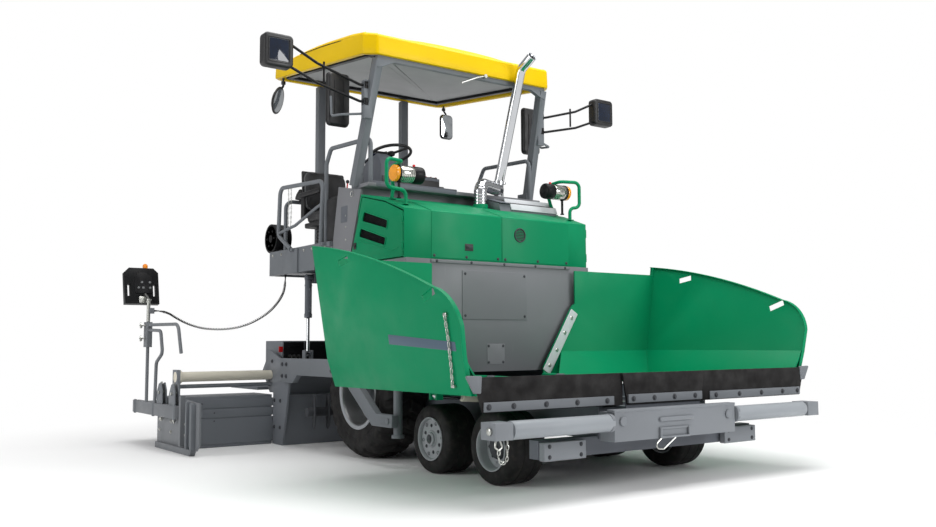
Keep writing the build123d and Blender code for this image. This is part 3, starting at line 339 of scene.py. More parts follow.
def carried(
    path: ArrayLike, profile: Array, up: Point = (0.0, 0.0, 1.0), closed: bool = False,
    scale: Array | float = 1.0,
) -> Surface:
    """Profile carried along a path.

    With t the path's direction, s is the unit vector of up x t and v is t x s. A profile point
    (a, b) lies at the path point plus a s + b v.

    Args:
        path: Rows of x, y, z.
        profile: Counter-clockwise rows of a and b.
        up: Direction never parallel to the path.
        closed: The path's end joins its start.
        scale: Size of the profile, one for all path points or one for each.

    Returns:
        The surface, its ends closed by flat faces.
    """
    path = np.asarray(path, float)
    if closed:
        ahead = unit(np.roll(path, -1, axis=0) - np.roll(path, 1, axis=0))
    else:
        ahead = unit(np.gradient(path, axis=0))
    side = unit(np.cross(np.asarray(up, float), ahead))
    over = np.cross(ahead, side)
    across = profile[None, :, :1] * side[:, None] + profile[None, :, 1:] * over[:, None]
    size = np.broadcast_to(scale, len(path))
    return grid(path[:, None] + size[:, None, None] * across, wrap_rows=closed)


def bent(points: ArrayLike, radius: float, steps: int = 7) -> Array:
    """Path along straight runs joined by arcs.

    At each inner corner the arc starts r tan(turn / 2) before it. Its points are the centre plus
    r (cos f w + sin f e), with w from the centre to the start and e the run's direction.

    Args:
        points: Corners, rows of x, y, z.
        radius: Radius of the arcs.
        steps: Points in each arc.

    Returns:
        Rows of x, y, z.
    """
    points = np.asarray(points, float)
    run = unit(np.diff(points, axis=0))
    before, after = run[:-1], run[1:]
    turn = np.arccos(np.clip((before * after).sum(1), -1, 1))
    start = points[1:-1] - before * (radius * np.tan(turn / 2))[:, None]
    inward = unit(after - before * np.cos(turn)[:, None])
    sweep = (turn[:, None] * np.linspace(0, 1, steps))[..., None]
    arc = radius * (np.sin(sweep) * before[:, None] + (1 - np.cos(sweep)) * inward[:, None])
    return np.concatenate([points[:1], (start[:, None] + arc).reshape(-1, 3), points[-1:]])


def loop_tube(
    corners: ArrayLike, bend: float, radius: float, count: int = 12, up: Point = ALONG_Y,
    steps: int = 7,
) -> Surface:
    """Round tube along straight runs joined by bends."""
    return carried(bent(corners, bend, steps), ring(radius, count), up)


def circle(radius: float, count: int, centre: Point, phase: float = 0.0) -> Array:
    """Points evenly round an axis along X."""
    return seated(radius * turns(count, phase), 0.0, Axis.X) + np.asarray(centre)


def bolts(places: ArrayLike, direction: Point, radius: float = 0.012) -> Surface:
    """Hexagon heads on washers at places on a bolted face, all facing one way."""
    head = radius * np.array([(1.0, 0.1), (1.0, 0.6), (0.84, 0.78)])
    washer = radius * np.array([(1.45, -0.02), (1.45, 0.14), (1.3, 0.2)])
    one = together(lathe(washer, Axis.Z, count=14), lathe(head, Axis.Z, count=6))
    return one.facing(direction, places)


def chain(path: ArrayLike, wire: float, length: float) -> Surface:
    """Chain of welded links, each a stadium-shaped ring, every second one turned a quarter.

    Args:
        path: Rows of x, y, z that the chain follows.
        wire: Radius of the links' wire.
        length: Pitch from link to link.

    Returns:
        All links as one surface.
    """
    path = np.asarray(path, float)
    whole = measured(path)[-1]
    count = max(2, int(whole / length))
    at = (np.arange(count) + 0.5) * whole / count
    centre = sampled(path, at)
    ahead = unit(sampled(path, at + 0.004) - centre + 1e-6)
    side = unit(np.cross(ahead, np.array([0.31, 0.87, 0.39])))
    over = np.cross(ahead, side)
    odd = (np.arange(count) % 2 == 1)[:, None]
    first, second = np.where(odd, over, side), np.where(odd, -side, over)
    reach = length / 2 - wire
    round_link = turns(10)
    round_link[:, 0] = reach * round_link[:, 0] + 0.3 * reach * np.sign(round_link[:, 0])
    round_link[:, 1] *= 2.0 * wire
    link = carried(seated(round_link, 0.0, Axis.Z), ring(wire, 5), closed=True)
    return link.copied(centre, np.stack([ahead, first, second], -1))


def rods(starts: ArrayLike, ends: ArrayLike, radius: float, count: int = 8) -> Surface:
    """Straight round bars between pairs of points.

    Args:
        starts: Rows of x, y, z, or one point.
        ends: As many rows.
        radius: Radius of every bar.
        count: Points round a bar.

    Returns:
        All bars as one surface.
    """
    starts, ends = (np.atleast_2d(np.asarray(rows, float)) for rows in (starts, ends))
    ahead = ends - starts
    along = unit(ahead)
    side = unit(np.cross(along, [0.36, 0.48, 0.80]))
    over = np.cross(along, side)
    frames = np.stack([radius * side, radius * over, ahead], -1)
    return lathe([(1.0, 0.0), (1.0, 1.0)], Axis.Z, count=count).copied(starts, frames)


def lattice(corners: ArrayLike, x: float, pitch: float, wire: float) -> Surface:
    """Wire mesh across a four-sided opening at one x.

    With p(u, v) the point that divides the sides in u and v, wires run along u and along v.

    Args:
        corners: Four rows of y and z, round the opening.
        x: Where the mesh lies.
        pitch: Distance between wires.
        wire: Radius of a wire.

    Returns:
        The mesh.
    """
    a, b, c, d = np.asarray(corners, float)
    made = []
    for first, second, third, fourth in ((a, b, d, c), (a, d, b, c)):
        count = max(3, int(np.linalg.norm(third - first) / pitch))
        share = ((np.arange(count) + 0.5) / count)[:, None]
        ends = (first + share * (third - first), second + share * (fourth - second))
        made.append(rods(seated(ends[0], x, Axis.X), seated(ends[1], x, Axis.X), wire, 5))
    return together(*made)


def arc(first: Pair, middle: Pair, last: Pair, count: int) -> Array:
    """Points of the circle through three points, from the first to the last.

    The centre solves 2 (q - p) . c = q.q - p.p for two pairs of the points.

    Args:
        first: Where the arc starts.
        middle: A point that it passes through.
        last: Where it ends.
        count: Number of points.

    Returns:
        Rows of two coordinates.
    """
    p, q, r = (np.array(v, float) for v in (first, middle, last))
    matrix = 2 * np.array([q - p, r - p])
    centre = np.linalg.solve(matrix, np.array([q @ q - p @ p, r @ r - p @ p]))
    radius = float(np.linalg.norm(p - centre))
    angles = np.unwrap([math.atan2(*(v - centre)[::-1]) for v in (p, q, r)])
    angle = np.linspace(angles[0], angles[2], count)
    return centre + radius * np.stack([np.cos(angle), np.sin(angle)], -1)


# ------------------------------------------------------------------ finishes
def linear(colour: Colour) -> tuple[float, ...]:
    """Linear colour of a screen colour given from 0 to 255."""
    share = np.array(colour) / 255
    value = np.where(share <= 0.04045, share / 12.92, ((share + 0.055) / 1.055) ** 2.4)
    return (*map(float, value), 1.0)


def toned(colour: tuple[float, ...], factor: float, added: float = 0.0) -> tuple[float, ...]:
    """Linear colour times a factor plus a number, at most 1."""
    return tuple(min(1.0, factor * part + added) for part in colour[:3]) + (1.0,)


class Graph:
    """Short hand for one material's nodes."""

    def __init__(self, name: str) -> None:
        """Starts a material with its main shader and Object coordinates.

        Args:
            name: The material's name.
        """
        self.material = bpy.data.materials.new(name)
        self.material.use_nodes = True
        self.tree = self.material.node_tree
        self.shader = self.tree.nodes["Principled BSDF"]
        self.place = self.add("ShaderNodeTexCoord").outputs["Object"]

    def add(self, kind: str, **settings: object) -> bpy.types.Node:
        """Adds a node and sets its properties."""
        node = self.tree.nodes.new(kind)
        for key, value in settings.items():
            setattr(node, key, value)
        return node

    def into(self, target: Socket, value: object) -> None:
        """Links a socket to an input, or sets the input to a plain value."""
        if isinstance(value, bpy.types.NodeSocket):
            self.tree.links.new(value, target)
        else:
            target.default_value = value

    def feed(self, node: bpy.types.Node, *values: object, **named: object) -> bpy.types.Node:
        """Links sockets to a node's inputs, or sets the inputs to plain values.

        Args:
            node: The node.
            values: Values of its first inputs.
            named: Values of inputs by name, with _ for a blank.

        Returns:
            The node.
        """
        for number, value in enumerate(values):
            self.into(node.inputs[number], value)
        for name, value in named.items():
            self.into(node.inputs[name.replace("_", " ")], value)
        return node

    def give(self, **named: object) -> None:
        """Feeds the main shader."""
        self.feed(self.shader, **named)

    def noise(self, scale: float, detail: float = 3.0, stretch: Point = (1.0, 1.0, 1.0)) -> Socket:
        """Fractal noise from 0 to 1 on Object coordinates.

        Args:
            scale: Waves in a metre.
            detail: Octaves.
            stretch: Factor on the frequency along each axis.

        Returns:
            The noise.
        """
        source = self.place
        if stretch != (1.0, 1.0, 1.0):
            mapping = self.add("ShaderNodeMapping")
            source = self.feed(mapping, Vector=source, Scale=stretch).outputs[0]
        node = self.add("ShaderNodeTexNoise")
        return self.feed(node, Vector=source, Scale=scale, Detail=detail).outputs["Fac"]

    def spread(
        self, value: Socket, low: float, high: float, start: float = 0.0, end: float = 1.0,
    ) -> Socket:
        """Value mapped smoothly from low..high to start..end."""
        node = self.add("ShaderNodeMapRange", interpolation_type="SMOOTHSTEP")
        span = {"From_Min": low, "From_Max": high, "To_Min": start, "To_Max": end}
        return self.feed(node, **span, Value=value).outputs["Result"]

    def maths(self, operation: str, first: object, second: object = 0.0) -> Socket:
        """Result of a maths node."""
        return self.feed(self.add("ShaderNodeMath", operation=operation), first, second).outputs[0]

    def mix(self, share: object, first: object, second: object) -> Socket:
        """Colour between two colours."""
        node = self.add("ShaderNodeMix", data_type="RGBA")
        for number, value in ((0, share), (6, first), (7, second)):
            self.into(node.inputs[number], value)
        return node.outputs[2]

    def upward(self) -> Socket:
        """How far the surface faces up, from -1 to 1."""
        split = self.add("ShaderNodeSeparateXYZ")
        return self.feed(split, self.add("ShaderNodeNewGeometry").outputs["Normal"]).outputs[2]

    def bump(self, height: Socket, distance: float, strength: float = 0.5) -> None:
        """Bump of a height in metres on top of what the shader has."""
        node = self.add("ShaderNodeBump")
        self.feed(node, Height=height, Distance=distance, Strength=strength)
        before = self.shader.inputs["Normal"]
        if before.is_linked:
            self.feed(node, Normal=before.links[0].from_socket)
        self.give(Normal=node.outputs[0])

    def cells(self, feature: str, scale: float) -> Socket:
        """Distance in a pattern of cells."""
        node = self.add("ShaderNodeTexVoronoi", feature=feature)
        return self.feed(node, Vector=self.place, Scale=scale).outputs["Distance"]

    def tube(self, middle: Pair, radius: float) -> Socket:
        """1 inside a cylinder along X round a y and z, 0 outside it."""
        split = self.feed(self.add("ShaderNodeSeparateXYZ"), self.place)
        squares = []
        for part, centre in zip(split.outputs[1:], middle):
            offset = self.maths("SUBTRACT", part, centre)
            squares.append(self.maths("MULTIPLY", offset, offset))
        distance = self.maths("SQRT", self.maths("ADD", *squares))
        return self.maths("LESS_THAN", distance, radius)


@dataclass(frozen=True)
class Finish:
    """What every finish has.

    Attributes:
        name: Material's name.
        colour: Screen colour, 0 to 255.
    """

    name: str
    colour: Colour

    def dress(self, graph: Graph, base: tuple[float, ...]) -> None:
        """Builds the nodes; each kind of finish has its own.

        Args:
            graph: Nodes of the new material.
            base: The finish's colour in linear light.
        """

    def material(self) -> bpy.types.Material:
        """Builds the material."""
        graph = Graph(self.name)
        self.dress(graph, linear(self.colour))
        return graph.material


@dataclass(frozen=True)
class Paint(Finish):
    """Sprayed enamel on steel: a faint orange peel, uneven gloss, dust and scuffs.

    Attributes:
        gloss: Roughness of the clean paint.
        dust: Share of dust on faces that look up.
        scuff: Share of light scuffs.
        tube: Second colour inside a cylinder along X: colour, y, z and radius.
    """

    gloss: float = 0.34
    dust: float = 0.10
    scuff: float = 0.12
    tube: tuple[Colour, float, float, float] | None = None

    def dress(self, graph: Graph, base: tuple[float, ...]) -> None:
        """Clouded colour, scratches that run down, and dust on what faces up.

        Args:
            graph: Nodes of the new material.
            base: The finish's colour in linear light.
        """
        dark = toned(base, 0.93)
        colour = graph.mix(graph.spread(graph.noise(1.7, 2.0), 0.3, 0.7), base, dark)
        colour = graph.mix(graph.spread(graph.noise(28.0, 6.0), 0.55, 0.8, 0.0, 0.25), colour, dark)
        if self.tube:
            second, *middle, radius = self.tube
            colour = graph.mix(graph.tube(middle, radius), colour, linear(second))
        scratches = graph.noise(60.0, 5.0, (1.0, 1.0, 0.09))
        scratches = graph.spread(scratches, 0.66, 0.74, 0.0, self.scuff)
        colour = graph.mix(scratches, colour, toned(base, 0.6, 0.22))
        patches = graph.spread(graph.noise(5.0, 4.0), 0.35, 0.8)
        laid = graph.spread(graph.upward(), 0.35, 0.95, 0.0, self.dust)
        dusty = graph.maths("MULTIPLY", patches, laid)
        graph.give(Base_Color=graph.mix(dusty, colour, linear((158, 150, 138))))
        uneven = (self.gloss - 0.05, self.gloss + 0.10)
        rough = graph.spread(graph.noise(7.0, 5.0), 0.3, 0.75, *uneven)
        rough = graph.maths("ADD", rough, graph.maths("MULTIPLY", dusty, 0.5))
        graph.give(Roughness=rough, Specular_IOR_Level=0.13, Coat_Weight=0.02, Coat_Roughness=0.15)
        graph.bump(graph.noise(320.0, 2.0), 0.0004, 0.12)
        graph.bump(graph.noise(9.0, 2.0), 0.002, 0.06)


@dataclass(frozen=True)
class Rubber(Finish):
    """Moulded rubber: nearly black, matt, with pores, dust in the hollows and scuffed patches."""

    dust: float = 0.35
    grain: float = 90.0

    def dress(self, graph: Graph, base: tuple[float, ...]) -> None:
        """Faded patches, dust, and pores of two sizes.

        Args:
            graph: Nodes of the new material.
            base: The finish's colour in linear light.
        """
        faded = graph.spread(graph.noise(6.0, 6.0), 0.35, 0.7)
        colour = graph.mix(faded, base, linear((36, 35, 35)))
        dusty = graph.spread(graph.noise(22.0, 8.0), 0.48, 0.85, 0.0, self.dust)
        graph.give(Base_Color=graph.mix(dusty, colour, linear((96, 90, 82))))
        graph.give(Roughness=graph.spread(graph.noise(14.0, 5.0), 0.3, 0.7, 0.55, 0.82))
        graph.give(Specular_IOR_Level=0.25)
        graph.bump(graph.noise(self.grain, 6.0), 0.0015, 0.35)
        graph.bump(graph.noise(700.0, 2.0), 0.0004, 0.3)


@dataclass(frozen=True)
class Metal(Finish):
    """Bare or plated metal with fine turning or rolling marks and stains.

    Attributes:
        roughness: Roughness where it is clean.
        stain: Share of dull stains.
        brushed: Stretch of the marks' frequency along each axis.
    """

    roughness: float = 0.3
    stain: float = 0.3
    brushed: Point = (1.0, 1.0, 1.0)

    def dress(self, graph: Graph, base: tuple[float, ...]) -> None:
        """Stains that are dull and darker, and marks in the roughness and the bump."""
        graph.give(Metallic=1.0)
        stains = graph.spread(graph.noise(11.0, 7.0), 0.45, 0.8, 0.0, self.stain)
        graph.give(Base_Color=graph.mix(stains, base, toned(base, 0.55)))
        marks = graph.noise(240.0, 4.0, self.brushed)
        rough = graph.spread(marks, 0.3, 0.7, 0.8 * self.roughness, 1.25 * self.roughness)
        graph.give(Roughness=graph.maths("ADD", rough, graph.maths("MULTIPLY", stains, 0.25)))
        graph.bump(marks, 0.0003, 0.15)


@dataclass(frozen=True)
class Plastic(Finish):
    """Moulded plastic with a fine leathery grain and soft sheen."""

    roughness: float = 0.45
    grain: float = 420.0

    def dress(self, graph: Graph, base: tuple[float, ...]) -> None:
        """Bleached patches, dust on what faces up, and the grain.

        Args:
            graph: Nodes of the new material.
            base: The finish's colour in linear light.
        """
        bleached = graph.spread(graph.noise(8.0, 6.0), 0.4, 0.75, 0.0, 0.6)
        colour = graph.mix(bleached, base, toned(base, 1.25, 0.01))
        patches = graph.spread(graph.noise(15.0, 7.0), 0.45, 0.8)
        dusty = graph.maths("MULTIPLY", patches, graph.spread(graph.upward(), 0.3, 1.0, 0.0, 0.22))
        graph.give(Base_Color=graph.mix(dusty, colour, linear((150, 145, 138))))
        uneven = (self.roughness - 0.06, self.roughness + 0.1)
        graph.give(Roughness=graph.spread(graph.noise(12.0, 4.0), 0.3, 0.7, *uneven))
        graph.bump(graph.cells("SMOOTH_F1", self.grain), 0.0004, 0.25)


@dataclass(frozen=True)
class Glass(Finish):
    """Lens, screen or mirror: a smooth glossy face with faint smears over a colour."""

    metallic: float = 0.0
    glow: float = 0.0

    def dress(self, graph: Graph, base: tuple[float, ...]) -> None:
        """Smears in the colour and in the roughness, under a clear coat."""
        smears = graph.spread(graph.noise(16.0, 4.0), 0.35, 0.7)
        graph.give(Base_Color=graph.mix(smears, base, toned(base, 0.75)), Metallic=self.metallic)
        graph.give(Roughness=graph.spread(graph.noise(30.0, 6.0), 0.4, 0.8, 0.04, 0.16))
        graph.give(Coat_Weight=0.6, Emission_Color=base, Emission_Strength=self.glow)


@dataclass(frozen=True)
class Leather(Finish):
    """Coated seat cover: pebbled grain, a soft sheen and creases rubbed lighter."""

    def dress(self, graph: Graph, base: tuple[float, ...]) -> None:
        """Worn patches, pebbles and shallow folds."""
        worn = graph.spread(graph.noise(7.0, 7.0), 0.42, 0.72)
        graph.give(Base_Color=graph.mix(worn, base, toned(base, 1.5, 0.015)))
        graph.give(Roughness=graph.spread(graph.noise(18.0, 5.0), 0.3, 0.7, 0.42, 0.6))
        graph.give(Sheen_Weight=0.15)
        pebbles = graph.cells("DISTANCE_TO_EDGE", 260.0)
        graph.bump(graph.spread(pebbles, 0.0, 0.12), 0.0006, 0.4)
        graph.bump(graph.noise(24.0, 5.0), 0.004, 0.2)


GREEN = Paint("green_enamel", (0, 136, 90), gloss=0.42, dust=0.015, scuff=0.03)
YELLOW = Paint("yellow_gel_coat", (232, 192, 0), dust=0.03, scuff=0.02)
GREY = Paint("mid_grey_enamel", (116, 120, 125), gloss=0.42, dust=0.06)
DARK_GREY = Paint("dark_grey_enamel", (101, 105, 112), gloss=0.42, dust=0.06)
LINER = Paint("roof_liner", (176, 177, 178), gloss=0.6, dust=0.0, scuff=0.05)
CREAM = Paint("cream_enamel", (222, 216, 200), gloss=0.32)
BLACK = Paint("black_enamel", (26, 26, 28), gloss=0.38)
STRIPE = Paint("blue_grey_stripe", (88, 104, 120), dust=0.04, scuff=0.06)
GUIDE_TUBE = ((226, 220, 204), 1.452, 0.600, 0.044)
EXTENSION = Paint("extension_enamel", (126, 130, 136), gloss=0.42, tube=GUIDE_TUBE)
PANEL_ZONE = ((14, 15, 17), 2.110, 1.390, 0.190)
END_PLATE = Paint("end_plate_enamel", (120, 123, 127), gloss=0.42, tube=PANEL_ZONE)
SCREED = Paint("screed_enamel", (122, 126, 132), gloss=0.42, dust=0.06)
RUBBER = Rubber("apron_rubber", (17, 15, 16), dust=0.03)
TYRE = Rubber("tyre_rubber", (26, 25, 26), dust=0.22, grain=60.0)
CABLE = Rubber("cable_sheath", (8, 8, 9), dust=0.0, grain=300.0)
CHROME = Metal("chrome_plate", (205, 207, 210), roughness=0.09, stain=0.12)
STEEL = Metal("rolled_steel", (168, 169, 170), 0.34, stain=0.35, brushed=(1.0, 0.15, 1.0))
ZINC = Metal("zinc_plate", (192, 193, 188))
POLISHED = Paint("polished_steel", (206, 209, 212), gloss=0.22, dust=0.02)
WALL = Paint("wall_enamel", (126, 127, 131), gloss=0.42, dust=0.05)
BEAM = Paint("beam_enamel", (130, 134, 139), gloss=0.40, dust=0.05)
IRON = Paint("iron_primer", (72, 74, 78), gloss=0.5, scuff=0.2)
RIM = Paint("rim_silver", (158, 161, 165), gloss=0.36, dust=0.06)
ROLLER = Paint("roller_silver", (150, 155, 160), dust=0.05)
PLASTIC = Plastic("black_plastic", (24, 24, 26))
GREY_PLASTIC = Plastic("grey_plastic", (104, 106, 108))
RED = Plastic("red_plastic", (196, 22, 26), roughness=0.3)
ORANGE = Plastic("orange_plastic", (238, 138, 12), roughness=0.32)
SEAT_COVER = Leather("seat_cover", (32, 32, 35))
SCREEN = Glass("dark_screen", (6, 22, 44))
MIRROR = Glass("mirror_glass", (206, 212, 216), metallic=1.0)
LENS = Glass("lamp_lens", (214, 214, 206), metallic=0.75)
AMBER = Glass("amber_lens", (250, 160, 8), glow=0.10)

# finish of a CAD node's slot
SLOTS: dict[str, Finish] = {
    "green_paint": GREEN, "yellow_moulding": YELLOW, "dark_grey_paint": DARK_GREY,
    "grey_paint": GREY, "cream_paint": CREAM, "black_paint": BLACK, "rubber": RUBBER, "tyre": TYRE,
    "chrome": CHROME, "steel": STEEL, "cast_iron": IRON, "black_plastic": PLASTIC,
    "leather": SEAT_COVER, "mirror": MIRROR, "sign_white": GREY_PLASTIC, "amber": AMBER,
}
# slot of a finish
SLOT_OF: dict[Finish, str] = {finish: slot for slot, finish in SLOTS.items()}
SLOT_OF |= {finish: "grey_paint" for finish in (LINER, STRIPE, WALL, SCREED)}
SLOT_OF |= {finish: "steel" for finish in (RIM, IRON, ZINC, POLISHED)}
SLOT_OF |= {BEAM: "dark_grey_paint", CABLE: "rubber", RED: "black_plastic", ORANGE: "amber"}


@lru_cache(maxsize=None)
def dyed(finish: Finish) -> bpy.types.Material:
    """A finish's material, built once."""
    return finish.material()


def shown(data: bpy.types.ID) -> bpy.types.Object:
    """Puts a mesh, lamp, camera or curve into the scene as an object of the same name."""
    made = bpy.data.objects.new(data.name, data)
    bpy.context.scene.collection.objects.link(made)
    return made


def coordinates(mesh: bpy.types.Mesh) -> Array:
    """One row of x, y, z for each point of a mesh."""
    found = np.empty(3 * len(mesh.vertices))
    mesh.vertices.foreach_get("co", found)
    return found.reshape(-1, 3)


@dataclass
class Fitting:
    """Sub-assembly whose pieces ride on one body.

    Attributes:
        side: Name of the machine's side, or nothing for what isn't one of a pair.
        sign: 1 on the left, -1 on the right.
    """

    rides: ClassVar[str] = "chassis"
    names: ClassVar[str] = "{side}_{name}"
    side: str = ""
    sign: float = 1.0

    def add(
        self, name: str, surface: Surface, *finishes: Finish, slot: str = "",
        replaces: tuple[str, ...] = (), smooth: float = 40.0,
    ) -> bpy.types.Object:
        """Makes a surface, drawn on the left, an object on its side that rides on the body.

        Args:
            name: Name of the piece, without its side.
            surface: Its shape.
            finishes: One for each finish number in the surface.
            slot: Not used.
            replaces: CAD nodes that it stands for.
            smooth: Edges that turn by more than this many degrees look sharp.

        Returns:
            The new object.
        """
        surface = surface.on(self.sign)
        mesh = bpy.data.meshes.new(self.called(self.names, name))
        faces = [row for array in surface.faces for row in array.tolist()]
        mesh.from_pydata(surface.points.tolist(), [], faces)
        for finish in finishes:
            mesh.materials.append(dyed(finish))
        numbers = np.repeat(surface.finishes, [len(array) for array in surface.faces])
        mesh.polygons.foreach_set("material_index", numbers.astype(np.int32))
        mesh.shade_smooth()
        mesh.set_sharp_from_angle(angle=math.radians(smooth))
        mesh.update()
        made = shown(mesh)
        body = self.called(self.rides)
        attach(made, body)
        if replaces:
            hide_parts(*replaces)
        log.info("%s: %d faces on %s", made.name, len(faces), body)
        return made

    def called(self, pattern: str, name: str = "") -> str:
        """A name made from a pattern and this sub-assembly's values."""
        return pattern.format(name=name, **vars(self)).lstrip("_")

    def once(self, node: str) -> tuple[str, ...]:
        """A CAD node that holds both sides, for the piece of the right side to stand for."""
        return (node,) if self.sign < 0 else ()


# ------------------------------------------------------------------ studio
@dataclass
class Studio:
    """White studio: camera, soft lamps and a pale floor that keeps the shadow.

    Attributes:
        eye: Where the camera stands.
        yaw: Its heading from +Y towards +X, in radians.
        pitch: How far it looks up, in radians.
        roll: Its tilt about the view, in radians.
        lens: Focal length on a 36 mm wide frame, in millimetres.
        lamps: Name, place, target, size and power of each lamp.
    """

    eye: Point = (-4.3804, -6.3310, 0.8723)
    yaw: float = 0.6268
    pitch: float = 0.0853
    roll: float = -0.0050
    lens: float = 35.77
    lamps: tuple[tuple[str, Point, Point, float, float], ...] = (
        ("overhead", (0.5, -1.0, 7.5), (0.0, 0.2, 1.0), 7.0, 560.0),
        ("front", (3.2, -9.0, 4.2), (0.2, 0.0, 1.2), 4.5, 340.0),
        ("side", (-9.0, 0.5, 3.6), (0.0, 0.6, 1.2), 4.5, 200.0),
    )

    def camera(self) -> None:
        """Places the camera: its axes are right, up and minus the viewing direction."""
        sin_yaw, cos_yaw = math.sin(self.yaw), math.cos(self.yaw)
        sin_pitch, cos_pitch = math.sin(self.pitch), math.cos(self.pitch)
        ahead = Vector((sin_yaw * cos_pitch, cos_yaw * cos_pitch, sin_pitch))
        right = Vector((cos_yaw, -sin_yaw, 0.0))
        up = right.cross(ahead)
        sin_roll, cos_roll = math.sin(self.roll), math.cos(self.roll)
        right, up = cos_roll * right + sin_roll * up, cos_roll * up - sin_roll * right
        data = bpy.data.cameras.new("camera")
        data.sensor_width = 36.0
        data.lens = self.lens
        data.clip_end = 200.0
        camera = shown(data)
        axes = Matrix((right, up, -ahead)).transposed()
        camera.matrix_world = Matrix.Translation(self.eye) @ axes.to_4x4()
        bpy.context.scene.camera = camera

    def light(self) -> None:
        """Soft lamps and an even world that the camera and rays through glass see as white."""
        for name, place, target, size, power in self.lamps:
            data = bpy.data.lights.new(name, "AREA")
            data.shape = "DISK"
            data.size = size
            data.energy = power
            aim = (Vector(target) - Vector(place)).to_track_quat("-Z", "Y")
            shown(data).matrix_world = Matrix.Translation(place) @ aim.to_matrix().to_4x4()
        world = bpy.data.worlds.new("world")
        world.use_nodes = True
        tree = world.node_tree
        ray = tree.nodes.new("ShaderNodeLightPath")
        seen = tree.nodes.new("ShaderNodeMath")
        seen.operation = "MAXIMUM"
        tree.links.new(ray.outputs["Is Camera Ray"], seen.inputs[0])
        tree.links.new(ray.outputs["Is Transmission Ray"], seen.inputs[1])
        level = tree.nodes.new("ShaderNodeMapRange")
        tree.links.new(seen.outputs[0], level.inputs["Value"])
        level.inputs["To Min"].default_value = 0.40
        background = tree.nodes["Background"]
        tree.links.new(level.outputs[0], background.inputs["Strength"])
        background.inputs["Color"].default_value = (1.0, 1.0, 1.0, 1.0)
        bpy.context.scene.world = world

    def floor(self) -> None:
        """Pale disc whose colour fades to plain white away from the machine."""
        flat = ring(60.0, 96)[None] * (np.array([0.001, 3.0, 8.0, 60.0]) / 60.0)[:, None, None]
        surface = grid(seated(flat, 0.0, Axis.Z)).flipped()
        mesh = bpy.data.meshes.new("floor")
        faces = [row for array in surface.faces[:2] for row in array.tolist()]
        mesh.from_pydata(surface.points.tolist(), [], faces)
        graph = Graph("floor")
        reach = graph.feed(graph.add("ShaderNodeVectorMath", operation="LENGTH"), graph.place)
        away = graph.spread(reach.outputs["Value"], 2.4, 5.0)
        graph.give(Base_Color=(0.97, 0.97, 0.97, 1.0), Roughness=0.75, Specular_IOR_Level=0.2)
        white = graph.feed(graph.add("ShaderNodeEmission"), Strength=1.0)
        ray = graph.add("ShaderNodeLightPath")
        seen = graph.maths("MAXIMUM", ray.outputs["Is Camera Ray"], ray.outputs["Is Glossy Ray"])
        blend = graph.add("ShaderNodeMixShader")
        share = graph.maths("MULTIPLY", away, seen)
        graph.feed(blend, share, graph.shader.outputs[0], white.outputs[0])
        graph.feed(graph.tree.nodes["Material Output"], Surface=blend.outputs[0])
        mesh.materials.append(graph.material)
        shown(mesh)

    def build(self) -> None:
        """Builds the whole studio."""
        bpy.context.scene.view_settings.view_transform = "Standard"
        self.camera()
        self.light()
        self.floor()


